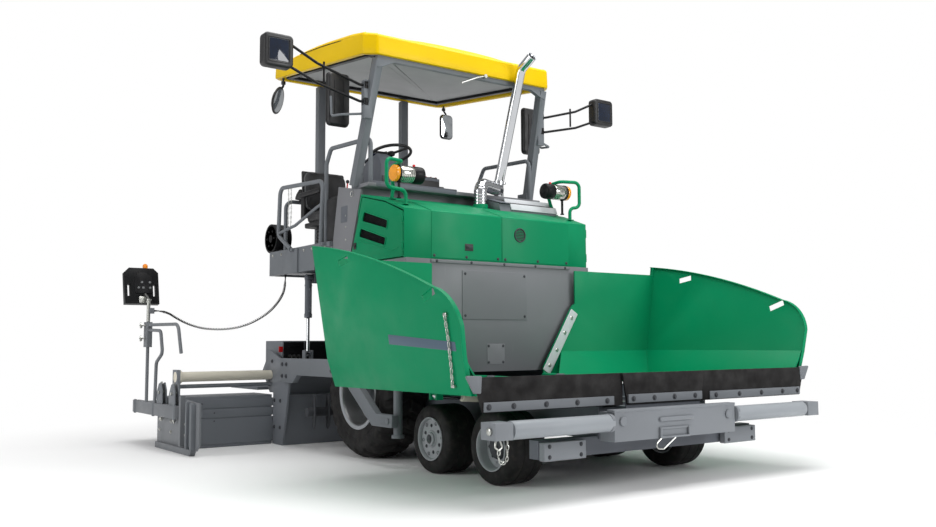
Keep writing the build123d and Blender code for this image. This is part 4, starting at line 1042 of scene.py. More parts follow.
# ------------------------------------------------------------------ cable
@dataclass
class RemoteCable(Fitting):
    """Curly cable from the remote control's stand to the platform's side box.

    Attributes:
        route: Control points of its line.
        wire: Radius of the cable itself.
        coil: Radius of the helix at the middle of the wire.
        pitch: Length of one turn where the curls are close.
    """

    route: tuple[Point, ...] = (
        (-1.805, 1.970, 1.170), (-1.700, 1.970, 1.170), (-1.600, 1.920, 1.095),
        (-1.510, 1.865, 1.045), (-1.410, 1.800, 1.012), (-1.280, 1.710, 1.003),
        (-1.150, 1.610, 1.022), (-1.040, 1.500, 1.080), (-0.950, 1.380, 1.170),
        (-0.900, 1.270, 1.290), (-0.900, 1.210, 1.390), (-0.900, 1.210, 1.480),
    )
    wire: float = 0.0042
    coil: float = 0.0074
    pitch: float = 0.0122

    def line(self) -> Array:
        """Points of the NURBS line with the route's points as its control points."""
        data = bpy.data.curves.new("cable_line", "CURVE")
        data.dimensions = "3D"
        data.resolution_u = 24
        spline = data.splines.new("NURBS")
        spline.points.add(len(self.route) - 1)
        for point, place in zip(spline.points, self.route):
            point.co = (*place, 1.0)
        spline.order_u = 3
        spline.use_endpoint_u = True
        carrier = shown(data)
        bpy.context.view_layer.update()
        found = coordinates(bpy.data.meshes.new_from_object(carrier))
        bpy.data.objects.remove(carrier)
        return found

    def reliefs(self) -> Surface:
        """Stepped sleeves at both ends, along the first and the last run."""
        profile = [(0.0105, 0.0), (0.0105, 0.006), (0.0085, 0.008), (0.0080, 0.016)]
        profile += [(0.0068, 0.018), (0.0064, 0.028), (0.0054, 0.030), (0.0046, 0.045)]
        one = lathe(profile + [(0.0038, 0.047)], Axis.Z, count=20)
        ends = ((self.route[0], self.route[1]), (self.route[-1], self.route[-2]))
        return together(*(one.facing(np.subtract(inner, end), end) for end, inner in ends))

    def build(self) -> None:
        """Helix round the line: line + r (cos a s + sin a v), with a growing along its length.

        The curls open in the middle of the span, where the cable's own weight pulls them apart, and
        the radius falls to nothing at both ends, so that the wire leaves its glands straight.
        """
        line = self.line()
        length = measured(line)[-1]
        at = np.linspace(0.0, length, 5200)
        centre = sampled(line, at)
        opening = 1.0 + 1.1 * np.exp(-(((at / length - 0.45) / 0.22) ** 2))
        step = np.full(len(at), length / len(at))
        angle = (2 * np.pi * np.cumsum(step / (self.pitch * opening)))[:, None]
        ends = np.clip(np.minimum(at, length - at) / 0.07 - 0.35, 0.0, 1.0)
        radius = (self.coil * smooth_step(ends))[:, None]
        ahead = unit(np.gradient(centre, axis=0))
        up = (0.25, 0.93, 0.27)
        side = unit(np.cross(up, ahead))
        helix = centre + radius * (np.cos(angle) * side + np.sin(angle) * np.cross(ahead, side))
        curls = carried(helix, ring(self.wire, 6), up)
        cable = self.add(
            "remote_cable_curls", curls, CABLE, replaces=("remote_cable",), smooth=80.0,
        )
        relief = self.add("cable_strain_reliefs", self.reliefs(), CABLE)


# ------------------------------------------------------------------ CAD nodes
@dataclass
class CadDressing:
    """Finishes, rounded edges and shading of the pieces that come from the CAD model.

    Attributes:
        edge: Rounding of the edges.
        sharp: Edges that turn by more than this many degrees look sharp.
        rounded: Edges that turn by more than this many degrees are rounded.
    """

    edge: float = 0.0025
    sharp: float = 35.0
    rounded: float = 38.0

    @staticmethod
    def finishes() -> dict[str, Finish]:
        """Finishes of the CAD nodes that differ from their slots'."""
        chosen: dict[str, Finish] = {
            "levelling_cylinders": GREY, "hose_reel": BLACK, "screed": SCREED, "air_box": GREY,
            "tractor_body": WALL, "push_beam": BEAM,
        }
        sided = {"auger": IRON, "extension": EXTENSION, "end_plate": END_PLATE}
        sided |= {"lift_barrel": DARK_GREY, "push_roller": ROLLER}
        for side, _ in SIDES:
            chosen |= {f"{name}_{side}": finish for name, finish in sided.items()}
        return chosen

    def shading(self) -> bpy.types.NodeTree:
        """Geometry nodes that drop stored normals and sharpen edges over an angle."""
        tree = bpy.data.node_groups.new("smooth_by_angle", "GeometryNodeTree")
        for way in ("INPUT", "OUTPUT"):
            kind = "NodeSocketGeometry"
            tree.interface.new_socket("Geometry", in_out=way, socket_type=kind)
        given = tree.nodes.new("NodeGroupInput")
        result = tree.nodes.new("NodeGroupOutput")
        normals = tree.nodes.new("GeometryNodeSetMeshNormal")
        normals.mode = "SHARPNESS"
        normals.inputs["Remove Custom"].default_value = True
        angle = tree.nodes.new("GeometryNodeInputMeshEdgeAngle")
        sharp = tree.nodes.new("FunctionNodeCompare")
        sharp.inputs["B"].default_value = math.radians(self.sharp)
        tree.links.new(angle.outputs["Unsigned Angle"], sharp.inputs["A"])
        tree.links.new(sharp.outputs["Result"], normals.inputs["Edge Sharpness"])
        tree.links.new(given.outputs[0], normals.inputs["Mesh"])
        tree.links.new(normals.outputs[0], result.inputs[0])
        return tree

    def build(self) -> None:
        """Welds, rounds, shades and finishes every CAD node."""
        shading, finishes = self.shading(), self.finishes()
        for name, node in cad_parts.items():
            for slot in node.material_slots:
                key = slot.material.name.split(".")[0] if slot.material else "steel"
                slot.link = "OBJECT"
                slot.material = dyed(finishes.get(name, SLOTS.get(key, STEEL)))
            node.modifiers.new("weld", "WELD").merge_threshold = 0.00001
            bevel = node.modifiers.new("bevel", "BEVEL")
            bevel.width = self.edge
            bevel.segments = 2
            bevel.limit_method = "ANGLE"
            bevel.angle_limit = math.radians(self.rounded)
            bevel.use_clamp_overlap = True
            node.modifiers.new("shading", "NODES").node_group = shading
            log.info("%s: dressed", name)


# ------------------------------------------------------------------ wheels
class WheelKind(Enum):
    """What sits inside a bogie wheel."""

    DRIVEN = "driven"
    PLAIN = "plain"


@dataclass
class BogieWheel(Fitting):
    """Solid tyre on a dished steel wheel.

    Attributes:
        place: Front or rear.
        kind: Driven wheels show a hub motor in a deep dish.
        centre: Middle of the wheel on the left side.
        radius: Radius of the tyre.
        half: Half its width.
        bore: Radius of the wheel inside the tyre.
        spindle: Radius of the hole for the spindle.
    """

    rides = "{side}_{place}_bogie_wheel"
    names = "bogie_wheel_{side}_{place}_{name}"
    place: str = "front"
    kind: WheelKind = WheelKind.DRIVEN
    centre: Point = (0.748, -1.717, 0.230)
    radius: float = 0.230
    half: float = 0.125
    bore: float = 0.140
    spindle: float = 0.0303

    def tyre(self) -> Surface:
        """Ring with rounded shoulders and two shallow mould grooves."""
        r, w, b = self.radius, self.half, self.bore
        shoulder = [(r - 0.040, -w), (r - 0.020, -w + 0.004), (r - 0.008, -w + 0.012)]
        shoulder += [(r - 0.002, -w + 0.024)]
        groove = [(r, -0.048), (r - 0.003, -0.046), (r - 0.003, -0.042), (r, -0.040)]
        profile = [(b, -w + 0.012), (b + 0.008, -w + 0.002), (b + 0.014, -w), *shoulder]
        profile += [(r, -w + 0.040), *groove, *reversed_profile(groove), (r, w - 0.040)]
        profile += [*reversed_profile(shoulder), (r - 0.050, w + 0.0015), (r - 0.058, w)]
        profile += [(b + 0.014, w), (b + 0.008, w - 0.002), (b, w - 0.012)]
        return lathe(profile, Axis.X, self.centre, 96, loop=True)

    def wheel(self) -> Surface:
        """Rim ring, dish with its bolts, and hub round the spindle."""
        w, b, s = self.half, self.bore, self.spindle
        x, y, z = self.centre
        driven = self.kind is WheelKind.DRIVEN
        face = w - (0.066 if driven else 0.018)
        at = (x + face, y, z)
        lip = [(b - 0.010, -w + 0.014), (b + 0.0005, -w + 0.014), (b + 0.0005, w - 0.010)]
        lip += [(b + 0.006, w + 0.001), (b + 0.004, w + 0.005), (b - 0.002, w + 0.005)]
        lip += [(b - 0.008, w - 0.004), (b - 0.010, w - 0.016)]
        dish = [(s, -0.012), (0.052, -0.012), (0.080, -0.012), (b - 0.024, -0.016)]
        dish += [(b - 0.009, -0.012), (b - 0.009, -0.002), (b - 0.022, -0.004), (0.080, 0.0)]
        dish += [(0.060, 0.001), (0.052, 0.010), (s, 0.010)]
        hub = plug(0.066, -0.050, face - 0.014, s)
        made = [
            lathe(lip, Axis.X, self.centre, 72, loop=True),
            lathe([(r, face + h) for r, h in dish], Axis.X, self.centre, 72, loop=True),
            lathe(hub, Axis.X, self.centre, 48, loop=True).wearing(1),
        ]
        s += 0.001
        if driven:
            motor = [(s, 0.0), (0.074, 0.0), (0.076, 0.010), (0.070, 0.024), (0.056, 0.034)]
            made.append(lathe(motor + [(s, 0.036)], Axis.X, at, 40, loop=True).wearing(1))
            for radius, count, rise, head, finish in (
                (0.064, 6, 0.027, 0.007, 1), (0.100, 10, -0.001, 0.008, 0),
            ):
                places = circle(radius, count, (x + face + rise, y, z))
                made.append(bolts(places, LEFT, head).wearing(finish))
        else:
            nuts = circle(0.088, 6, (x + face - 0.001, y, z), 0.4)
            made.append(bolts(nuts, LEFT, 0.009).wearing(1))
            eye = [(0.009, -0.001), (0.012, 0.0), (0.012, 0.0015), (0.009, 0.0015)]
            eyes = lathe(eye, Axis.X, count=16, loop=True).copied(circle(0.110, 6, at, 0.92))
            cap = [(s, 0.008), (0.046, 0.008), (0.046, 0.020), (0.040, 0.026), (s, 0.026)]
            made += [eyes.wearing(1), lathe(cap, Axis.X, at, 32, loop=True)]
        return together(*made)

    def build(self) -> None:
        """Builds the tyre and the wheel."""
        node = self.called("bogie_wheel_{side}_{place}")
        self.add("tyre", self.tyre(), TYRE, replaces=(node,))
        self.add("disc", self.wheel(), RIM, IRON)


@dataclass
class DriveWheel(Fitting):
    """Large rear tyre with slanted lugs on a dished rim.

    Attributes:
        centre: Middle of the wheel on the left side.
        radius: Radius over the lugs.
        half: Half the tyre's width.
        rim: Radius of the rim under the tyre.
        lugs: Lugs round each half of the tread.
        depth: Depth of the grooves between lugs.
    """

    rides = "{side}_drive_wheel"
    centre: Point = (0.677, 0.0, 0.500)
    radius: float = 0.500
    half: float = 0.1825
    rim: float = 0.270
    lugs: int = 22
    depth: float = 0.020

    def tyre(self) -> Surface:
        """Tread r = R - d g(phase): g steps from 0 on a lug to 1 in a groove.

        The phase is N a / 2 pi plus the slant times the distance from the middle, half a pitch
        apart on the two halves. Rows across the tread run out into the shoulders.
        """
        r, w, b = self.radius, self.half, self.rim
        side = np.array([
            (b, -w + 0.030), (b + 0.012, -w + 0.012), (b + 0.030, -w + 0.004),
            (b + 0.070, -w - 0.001), (b + 0.078, -w + 0.003), (b + 0.086, -w - 0.001),
            (b + 0.130, -w), (r - 0.075, -w + 0.004),
        ])
        across = np.linspace(-w + 0.008, w - 0.008, 46)
        edge = np.clip((np.abs(across) - 0.062) / (w - 0.070), 0.0, 1.0)
        crown = np.stack([r - 0.052 * edge**2.4, across], -1)
        profile = np.concatenate([side, crown, side[::-1] * [1.0, -1.0]])
        count = 528
        share = np.arange(count) / count
        out, along = profile[:, :1], profile[:, 1:]
        phase = self.lugs * share[None] + 0.55 * np.sign(along) - 3.4 * np.abs(along)
        saw = np.abs((phase % 1.0) - 0.5) * 2.0
        groove = np.clip((0.46 - saw) / 0.10, 0.0, 1.0)
        centre_gap = np.clip((0.012 - np.abs(along)) / 0.006, 0.0, 1.0)
        tread = np.clip((out - (r - 0.070)) / 0.012, 0.0, 1.0)
        radius = out - self.depth * tread * np.maximum(groove, 0.8 * centre_gap)
        flat = radius[..., None] * turns(count)[None]
        return grid(seated(flat, along, Axis.X) + np.asarray(self.centre), wrap_rows=True)

    def disc(self) -> Surface:
        """Bolts, valve and planetary cover on the CAD rim."""
        x, y, z = self.centre
        cover = [(0.002, 0.030), (0.120, 0.030), (0.128, 0.036), (0.128, 0.052), (0.112, 0.064)]
        cover += [(0.070, 0.076), (0.060, 0.090), (0.002, 0.094)]
        flange = [(0.250, 0.160), (0.272, 0.160), (0.280, 0.166), (0.284, 0.176), (0.276, 0.180)]
        flange += [(0.258, 0.174)]
        return together(
            lathe(cover, Axis.X, self.centre, 48).wearing(1),
            bolts(circle(0.165, 10, (x + 0.030, y, z)), LEFT, 0.015),
            bolts(circle(0.096, 8, (x + 0.068, y, z)), LEFT, 0.008).wearing(1),
            lathe(flange, Axis.X, self.centre, 80, loop=True),
            lathe(reversed_profile(flange), Axis.X, self.centre, 80, loop=True),
        )

    def build(self) -> None:
        """Builds the tyre and what is bolted to the rim."""
        node = (f"drive_tyre_{self.side}",)
        self.add("drive_tread", self.tyre(), TYRE, replaces=node, smooth=50.0)
        self.add("drive_hub", self.disc(), RIM, IRON)


# ------------------------------------------------------------------ canopy
@dataclass
class Canopy(Fitting):
    """Moulded roof shell, its liner, ribs, wiper and seams.

    Attributes:
        half: Half the roof's width.
        front: y and z of the lower edge in front.
        rear: y and z of the lower edge behind.
        side_height: y and height of the side band.
        crown: y and z of the roof's top along its middle.
        top: Height that no part of the roof passes.
    """

    half: float = 0.930
    front: Pair = (-0.300, 3.084)
    rear: Pair = (1.475, 3.285)
    side_height: tuple[Pair, ...] = (
        (-0.30, 0.165), (-0.05, 0.190), (0.50, 0.192), (0.90, 0.172), (1.475, 0.110)
    )
    crown: tuple[Pair, ...] = (
        (-0.30, 3.285), (-0.10, 3.330), (0.5, 3.380), (1.1, 3.398), (1.475, 3.386)
    )
    top: float = 3.399

    def edge(self, y: ArrayLike) -> Array:
        """Height of the lower edge at y."""
        share = (np.asarray(y) - self.front[0]) / (self.rear[0] - self.front[0])
        return self.front[1] + share * (self.rear[1] - self.front[1])

    def middle(self) -> Array:
        """Middle of the roof's plan."""
        return np.array([0.0, (self.front[0] + self.rear[0]) / 2])

    def outline(self) -> tuple[Array, Array]:
        """Plan of the roof: a rectangle with slanted front corners, every corner rounded."""
        h, y0, y1 = self.half, self.front[0], self.rear[0]
        right = [(h - 0.075, y0), (h, y0 + 0.105), (h, y1 - 0.06), (h - 0.06, y1)]
        corners = [(-h + 0.075, y0), *right, *((-x, y) for x, y in right[:0:-1])]
        points, outward = rounded(corners, 0.035, 6)
        share = np.linspace(0, 1, 9)[None, :-1, None]
        filled = []
        for rows in (points, outward):
            step = np.roll(rows, -1, axis=0) - rows
            filled.append((rows[:, None] + share * step[:, None]).reshape(-1, 2))
        return filled[0], filled[1]

    def shell(self) -> Surface:
        """Side band from the lip up to the shoulder, then the crown over the whole plan.

        Band rows are the outline pulled in by an inset, at the lower edge plus a share of the
        side's height. Crown rows are the outline shrunk towards the middle by f, and their height
        blends smoothly from the shoulder's to the crown's, top(y) - 0.085 |x / half| ^ 2.6.
        """
        points, outward = self.outline()
        y = points[:, 1]
        low = self.edge(y)
        tall = np.interp(y, *np.array(self.side_height).T)
        flank = np.clip((np.abs(outward[:, 0]) - 0.85) / 0.1, 0, 1)
        flank = flank * np.clip((y + 0.02) / 0.06, 0, 1)
        lip = (
            (0.055, 0.060), (0.042, 0.006), (0.032, 0.0), (0.010, 0.0), (0.002, 0.004),
            (0.0, 0.012),
        )
        band = ((0.001, 0.30), (0.003, 0.70), (0.004, 0.80), (0.009, 0.82), (0.009, 0.85))
        band += ((0.005, 0.87), (0.009, 0.93), (0.018, 0.985), (0.036, 1.03))
        flat, height = [], []
        for inset, rise in lip:
            flat.append(points - inset * outward)
            height.append(low + rise)
        for inset, part in band:
            groove = 0.005 * (flank - 1.0) if 0.81 < part < 0.86 else 0.0 * flank
            flat.append(points - (inset + groove)[:, None] * outward)
            height.append(low + 0.012 + part * (tall - 0.012))
        shoulder_flat, shoulder = flat[-1], height[-1]
        crown_y, crown_z = np.array(self.crown).T
        for f in (0.975, 0.94, 0.90, 0.85, 0.78, 0.66, 0.5, 0.3, 0.12, 0.01):
            here = self.middle() + f * (shoulder_flat - self.middle())
            swell = 0.085 * np.abs(here[:, 0] / self.half) ** 2.6
            blend = smooth_step(np.clip((1 - f) / 0.16, 0, 1))
            flat.append(here)
            height.append(
                shoulder + blend * (np.interp(here[:, 1], crown_y, crown_z) - swell - shoulder)
            )
        return grid(seated(np.array(flat), np.minimum(np.array(height), self.top), Axis.Z))

    def liner(self) -> Surface:
        """Underside panel: the outline pulled in and shrunk to the middle, arched, facing down."""
        points, outward = self.outline()
        inner = points - 0.050 * outward
        shares = np.array([1.0, 0.97, 0.93, 0.86, 0.6, 0.3, 0.01])
        flat = self.middle() + shares[:, None, None] * (inner - self.middle())
        rise = np.array([0.040, 0.048, 0.070, 0.082, 0.090, 0.094, 0.095])
        return grid(seated(flat, self.edge(flat[..., 1]) + rise[:, None], Axis.Z)).flipped()

    def ribs(self) -> Surface:
        """Black frame bars under the liner."""
        made = []
        for y in (-0.10, 1.36):
            low = float(self.edge(y)) + 0.012
            made.append(slab(oblong(1.66, 0.05, (0.0, y)), 0.006, low, low + 0.045, 0.004, Axis.Z))
        for x in (-0.81, 0.81):
            path = [(x, y, float(self.edge(y)) + 0.034) for y in (-0.20, 1.38)]
            made.append(carried(path, bar_profile(0.045, 0.040, 0.005, 5)))
        return together(*made)

    def front_panel(self) -> Surface:
        """Raised blank panel on the middle of the front face, leaning back."""
        corners = [(-0.545, 3.228), (-0.450, 3.246), (0.500, 3.246), (0.580, 3.228)]
        corners += [(0.490, 3.106), (-0.255, 3.110)]
        made = slab(corners, 0.030, -0.2995, -0.200, 0.006, Axis.Y, 6)
        made.points[:, 1] += 0.24 * np.maximum(made.points[:, 2] - 3.115, 0.0)
        return made

    def seams(self) -> Surface:
        """Dark joints of the side mouldings."""
        line = [(-0.125, 3.110), (-0.124, 3.210), (0.180, 3.297), (0.513, 3.340), (0.905, 3.375)]
        return loop_tube(seated(line, 0.9225, Axis.X), 0.05, 0.0035, 8, ALONG_X, 8).on_both()

    def wiper(self) -> Surface:
        """Short arm that hangs below the header."""
        arm = [(0.18, -0.292, 3.080), (0.10, -0.302, 3.055), (-0.06, -0.300, 2.985)]
        end = [(0.001, 0.0), (0.008, 0.002), (0.008, 0.012), (0.001, 0.014)]
        knob = [(0.001, 0.0), (0.016, 0.0), (0.016, 0.018), (0.001, 0.020)]
        return together(
            loop_tube(arm, 0.02, 0.005, 8, (0.0, 0.0, 1.0)),
            lathe(end, Axis.Y, (-0.06, -0.306, 2.985), 12),
            lathe(knob, Axis.Y, (0.18, -0.302, 3.080), 16),
        )

    def build(self) -> None:
        """Builds the roof and all below it."""
        self.add("canopy_shell", self.shell(), YELLOW, replaces=("canopy_roof",), smooth=28.0)
        self.add("canopy_front_panel", self.front_panel(), YELLOW, smooth=30.0)
        self.add("canopy_seams", self.seams(), BLACK)
        self.add("canopy_liner", self.liner(), LINER)
        self.add("canopy_ribs", self.ribs(), BLACK)
        self.add("canopy_wiper", self.wiper(), ZINC)


# ------------------------------------------------------------------ hood
@dataclass
class HoodPanels(Fitting):
    """Folded cover panels on the front of the hood, their latch, grille and screws.

    Attributes:
        fold: y and z of the panels' line over the front edge.
        panels: Lowest and highest x of each panel.
        front: y of the panels' front face.
        outlet: x and z of the round outlet.
    """

    fold: tuple[Pair, ...] = ((-0.7478, 1.494), (-0.7478, 1.836), (-0.486, 1.9285))
    panels: tuple[Pair, ...] = ((-0.664, -0.027), (-0.013, 0.664))
    front: float = -0.750
    outlet: Pair = (0.160, 1.704)

    def covers(self) -> Surface:
        """Thin sheets carried over the edge: the profile's width lies along X."""
        line = bent(seated(self.fold, 0.0, Axis.X), 0.016)
        made = []
        for low, high in self.panels:
            across = bar_profile(0.004, high - low, 0.0015)
            made.append(carried(line + [(low + high) / 2, 0.0, 0.0], across, ALONG_X))
        return together(*made)

    def grille(self) -> Surface:
        """Rim, slats, and a dark disc behind them that is painted shade of the round outlet's
        inside.
        """
        y, (x, z) = self.front, self.outlet
        rim = [(0.045, 0.0), (0.056, 0.0), (0.056, 0.005), (0.052, 0.008), (0.047, 0.006)]
        slats = np.linspace(-0.036, 0.036, 7)
        reach = np.sqrt(0.046**2 - slats**2)
        starts = np.stack([x - reach, np.full(7, y - 0.002), z + slats], -1)
        return together(
            lathe(reversed_profile(rim), Axis.Y, (x, y, z), 40, loop=True),
            rods(starts, starts + reach[:, None] * [2.0, 0.0, 0.0], 0.0030, 6).wearing(1),
            # dark disc behind the slats: painted shade of the outlet's inside
            lathe(plug(0.046, 0.001, 0.002), Axis.Y, (x, y, z), 40).wearing(1),
        )

    def build(self) -> None:
        """Builds the panels and what is screwed to them."""
        y = self.front
        feet = [(x, y, 1.508) for x in (-0.640, -0.350, -0.055, 0.015, 0.340, 0.640)]
        hardware = together(
            brick((-0.366, -0.290), (y - 0.003, y + 0.002), (1.556, 1.608), 0.002).wearing(1),
            brick((-0.356, -0.300), (y - 0.010, y - 0.002), (1.572, 1.594), 0.003),
            brick((-0.350, -0.336), (y - 0.013, y - 0.009), (1.576, 1.590), 0.002).wearing(1),
            self.grille(),
            bolts(feet, FORWARD, 0.008),
        )
        self.add("hood_panels", self.covers(), GREEN)
        self.add("hood_hardware", hardware, IRON, PLASTIC)


@dataclass
class HoodDoorTrim(Fitting):
    """Lips and wire mesh of the side door's vents, its pressed crease and its latch.

    Attributes:
        vents: Four corners y, z of each opening.
        crease: y and z of the pressed line.
        face: x of the door's outer face.
    """

    rides = "{side}_hood_door"
    vents: tuple[tuple[Pair, ...], ...] = (
        ((-0.150, 1.878), (-0.500, 1.776), (-0.488, 1.712), (-0.120, 1.806)),
        ((-0.100, 1.756), (-0.475, 1.648), (-0.455, 1.590), (-0.072, 1.690)),
    )
    crease: tuple[Pair, ...] = ((-0.640, 1.560), (-0.540, 1.545), (-0.470, 1.566), (-0.060, 1.660))
    face: float = 0.882

    def build(self) -> None:
        """Builds the lips, the meshes and the latch."""
        x = self.face
        lips, meshes = [], []
        for vent in self.vents:
            points, outward = rounded(vent, 0.016, 6)
            path = seated(points + 0.002 * outward, x + 0.001, Axis.X)
            lips.append(carried(path, ring(0.006, 8, 0.8), ALONG_X, closed=True))
            meshes.append(lattice(vent, x - 0.008, 0.011, 0.0014))
        crease = bent(seated(self.crease, x, Axis.X), 0.05)
        lips.append(carried(crease, ring(0.0045, 8, 0.6), ALONG_X))
        latch = bricks(
            ((x, x + 0.004), (-0.030, 0.012), (1.600, 1.650), 0.002),
            ((x + 0.003, x + 0.010), (-0.022, 0.004), (1.616, 1.634), 0.003),
        )
        self.add("door_lips", together(*lips), GREEN)
        self.add("door_mesh", together(*meshes), BLACK)
        self.add("door_latch", latch, PLASTIC)


@dataclass
class BodyWall(Fitting):
    """Cover plates, bolts and strips of the grey housing behind the hopper.

    Attributes:
        face: y of the wall's front face.
        cheek: x of the side consoles' outer face.
    """

    face: float = -0.746
    cheek: float = 0.882

    def bolted(self) -> Surface:
        """Bolts of the two covers and of the strip under the hood."""
        y = self.face
        at = [(x, y - 0.005, z) for x in (-0.365, 0.200) for z in (1.075, 1.385)]
        at += [(x, y - 0.004, z) for x in (-0.150, -0.013) for z in (0.728, 0.850)]
        at += [(x, y - 0.010, 1.468) for x in (-0.62, -0.31, 0.0, 0.31, 0.62)]
        return bolts(at, FORWARD, 0.0075)

    def build(self) -> None:
        """Builds the covers and the bolts."""
        y, x = self.face, self.cheek
        covers = bricks(
            ((-0.391, 0.227), (y - 0.005, y + 0.001), (1.048, 1.411), 0.002),
            ((-0.164, 0.001), (y - 0.004, y + 0.001), (0.713, 0.865), 0.0015),
            ((-0.670, 0.670), (y - 0.010, y + 0.001), (1.456, 1.480), 0.003),
        )
        self.add("wall_covers", covers, WALL)
        self.add("wall_bolts", self.bolted(), IRON)
        filler = (x, 0.045, 2.041)
        neck = [(0.016, -0.001), (0.024, -0.001), (0.024, 0.004), (0.019, 0.005), (0.016, 0.003)]
        screws = together(
            *(bolts((x, 0.145, z), LEFT, 0.006) for z in (1.585, 1.69, 1.79, 1.88)),
            lathe(neck, Axis.X, filler, 24, loop=True),
        )
        badge = [(0.120, 1.830), (0.225, 1.830), (0.222, 1.960), (0.118, 1.960)]
        lid = [(0.001, 0.0), (0.017, 0.0), (0.016, 0.002), (0.001, 0.002)]
        badge = slab(badge, 0.008, x - 0.001, x + 0.002, 0.001, Axis.X)
        for side in SIDES:
            Fitting(*side).add("console_screws", screws, ZINC)
            Fitting(*side).add(
                "console_badge", together(badge, lathe(lid, Axis.X, filler, 24)), DARK_GREY,
            )


# ------------------------------------------------------------------ hopper
@dataclass
class HopperWing(Fitting):
    """Folded rim, wear strip, stripe, chain, clamp strip and bolts of a hopper wing.

    Attributes:
        wall: x and z of the side wall's outer face, from the floor up.
        top: y and z of three points of the upper edge.
        nose: y and z of three points of the rounded front corner.
        rear: y of the rear wall's front face on the left.
        right_rear: How much further back it stands on the right, so that the folded walls pass.
        front: y of the clamp strip.
    """

    rides = "{side}_hopper_wing"
    wall: tuple[Pair, ...] = ((1.440, 0.575), (1.500, 0.770), (1.620, 1.515))
    top: tuple[Pair, ...] = ((-0.760, 1.515), (-1.440, 1.392), (-2.110, 1.178))
    nose: tuple[Pair, ...] = ((-2.110, 1.178), (-2.262, 1.092), (-2.325, 0.960))
    rear: float = -0.7995
    right_rear: float = 0.017
    front: float = -2.337

    def outside(self, z: Array) -> Array:
        """x of the side wall's outer face at a height."""
        x, height = np.array(self.wall).T
        return np.interp(z, height, x)

    def against(self, line: Array, inset: float) -> Array:
        """Path of y and z laid on the side wall, an inset inside its outer face."""
        return np.stack([self.outside(line[:, 1]) - inset, line[:, 0], line[:, 1]], -1)

    def rim(self) -> Surface:
        """Flange carried along the top edge and down the front edge of the side wall."""
        down = [(-2.311, 0.80), (-2.300, 0.68)]
        line = np.concatenate([arc(*self.top, 26), arc(*self.nose, 12)[1:], down])
        return carried(self.against(line, 0.010), bar_profile(0.006, 0.030, 0.0025), ALONG_X)

    def stripe(self) -> Surface:
        """Coloured strip on the outer face."""
        corners = [(-2.258, 0.828), (-1.577, 0.867), (-1.577, 0.925), (-2.258, 0.878)]
        strip = slab(corners, 0.002, 0.0, 0.0012, 0.0004, Axis.X, 3)
        strip.points[:, 0] += self.outside(strip.points[:, 2])
        return strip

    def set_back(self) -> float:
        """How much further back this wing's rear wall stands."""
        return self.right_rear if self.sign < 0 else 0.0

    def wear_strip(self) -> Surface:
        """Bright plate along the slanted edge of the rear wall, with its bolts."""
        along = np.array([0.330, 0.518]) / 0.614
        across = np.array([along[1], -along[0]])
        foot, wide, tall = np.array([0.337, 0.668]), 0.080 * across, 0.560 * along
        y = self.rear
        plate = slab(
            [foot, foot + wide, foot + tall + wide, foot + tall],
            0.006, y - 0.006, y, 0.002, Axis.Y,
        )
        at = foot + np.array([0.06, 0.20, 0.36, 0.50])[:, None] * along + 0.040 * across
        heads = bolts(seated(at, y - 0.006, Axis.Y), FORWARD, 0.011).wearing(1)
        return together(plate, heads).moved(0.0, self.set_back(), 0.0)

    def clamp(self) -> Surface:
        """Strip that clamps the rubber apron, and its bolts."""
        y = self.front
        strip = brick((0.430, 1.392), (y - 0.008, y + 0.0005), (0.504, 0.556), 0.002)
        at = [(x, y - 0.008, 0.530) for x in (0.488, 0.725, 0.958, 1.191, 1.360)]
        return together(strip, bolts(at, FORWARD, 0.012).wearing(1))

    def corner(self) -> Surface:
        """Plate at the front corner of the side wall."""
        corners = [(1.409, 0.603), (1.456, 0.605), (1.512, 0.700), (1.403, 0.697)]
        return slab(corners, 0.008, self.front - 0.006, self.front + 0.006, 0.003, Axis.Y)

    def chain(self) -> Surface:
        """Short chain outside the front edge with the lugs that it hangs on."""
        line = np.array([(-2.213, 1.025), (-2.216, 0.90), (-2.202, 0.74), (-2.170, 0.640)])
        path = self.against(line, -0.014)
        lugs = [
            brick((x - 0.018, x + 0.004), (y - 0.014, y + 0.014), (z - 0.010, z + 0.010), 0.003)
            for x, y, z in path[[0, 3]].tolist()
        ]
        return together(chain(path, 0.0036, 0.034), *lugs)

    def slopes(self) -> Surface:
        """Sloping plates that close the corner between the floor and the two walls."""
        foot = 0.606
        rear = [(0.372, foot), (1.435, foot), (1.488, 0.812), (0.538, 0.812)]
        rear = slab(rear, 0.002, -0.003, 0.003, 0.001, Axis.Y)
        rear.points[:, 1] += -0.940 + 0.72 * (rear.points[:, 2] - foot) + self.set_back()
        side = [(1.499, 0.802), (1.492, 0.808), (1.352, foot), (1.364, 0.600)]
        return together(rear, slab(side, 0.002, -2.300, -0.800, 0.001, Axis.Y))

    def build(self) -> None:
        """Builds everything that rides on the wing."""
        self.add("wing_rim", self.rim(), GREEN)
        self.add("wing_stripe", self.stripe(), STRIPE)
        self.add("wing_wear_strip", self.wear_strip(), POLISHED, ZINC)
        self.add("apron_clamp", self.clamp(), GREY, IRON)
        self.add("wing_corner", self.corner(), GREY)
        self.add("wing_slopes", self.slopes(), GREEN)
        self.add("wing_chain", self.chain(), ZINC)


@dataclass
class CentreApron(Fitting):
    """Clamp strip of the centre apron and its bolts.

    Attributes:
        front: y of the clamp's front face.
    """

    front: float = -2.365

    def build(self) -> None:
        """Builds the clamp over the CAD strip and its bolts."""
        y = self.front
        heads = bolts([(x, y, 0.536) for x in (-0.290, -0.110, 0.070, 0.262)], FORWARD, 0.012)
        plate = brick((-0.330, 0.330), (y, y + 0.012), (0.510, 0.562), 0.002)
        self.add("centre_clamp", together(plate, heads.wearing(1)), GREY, IRON)


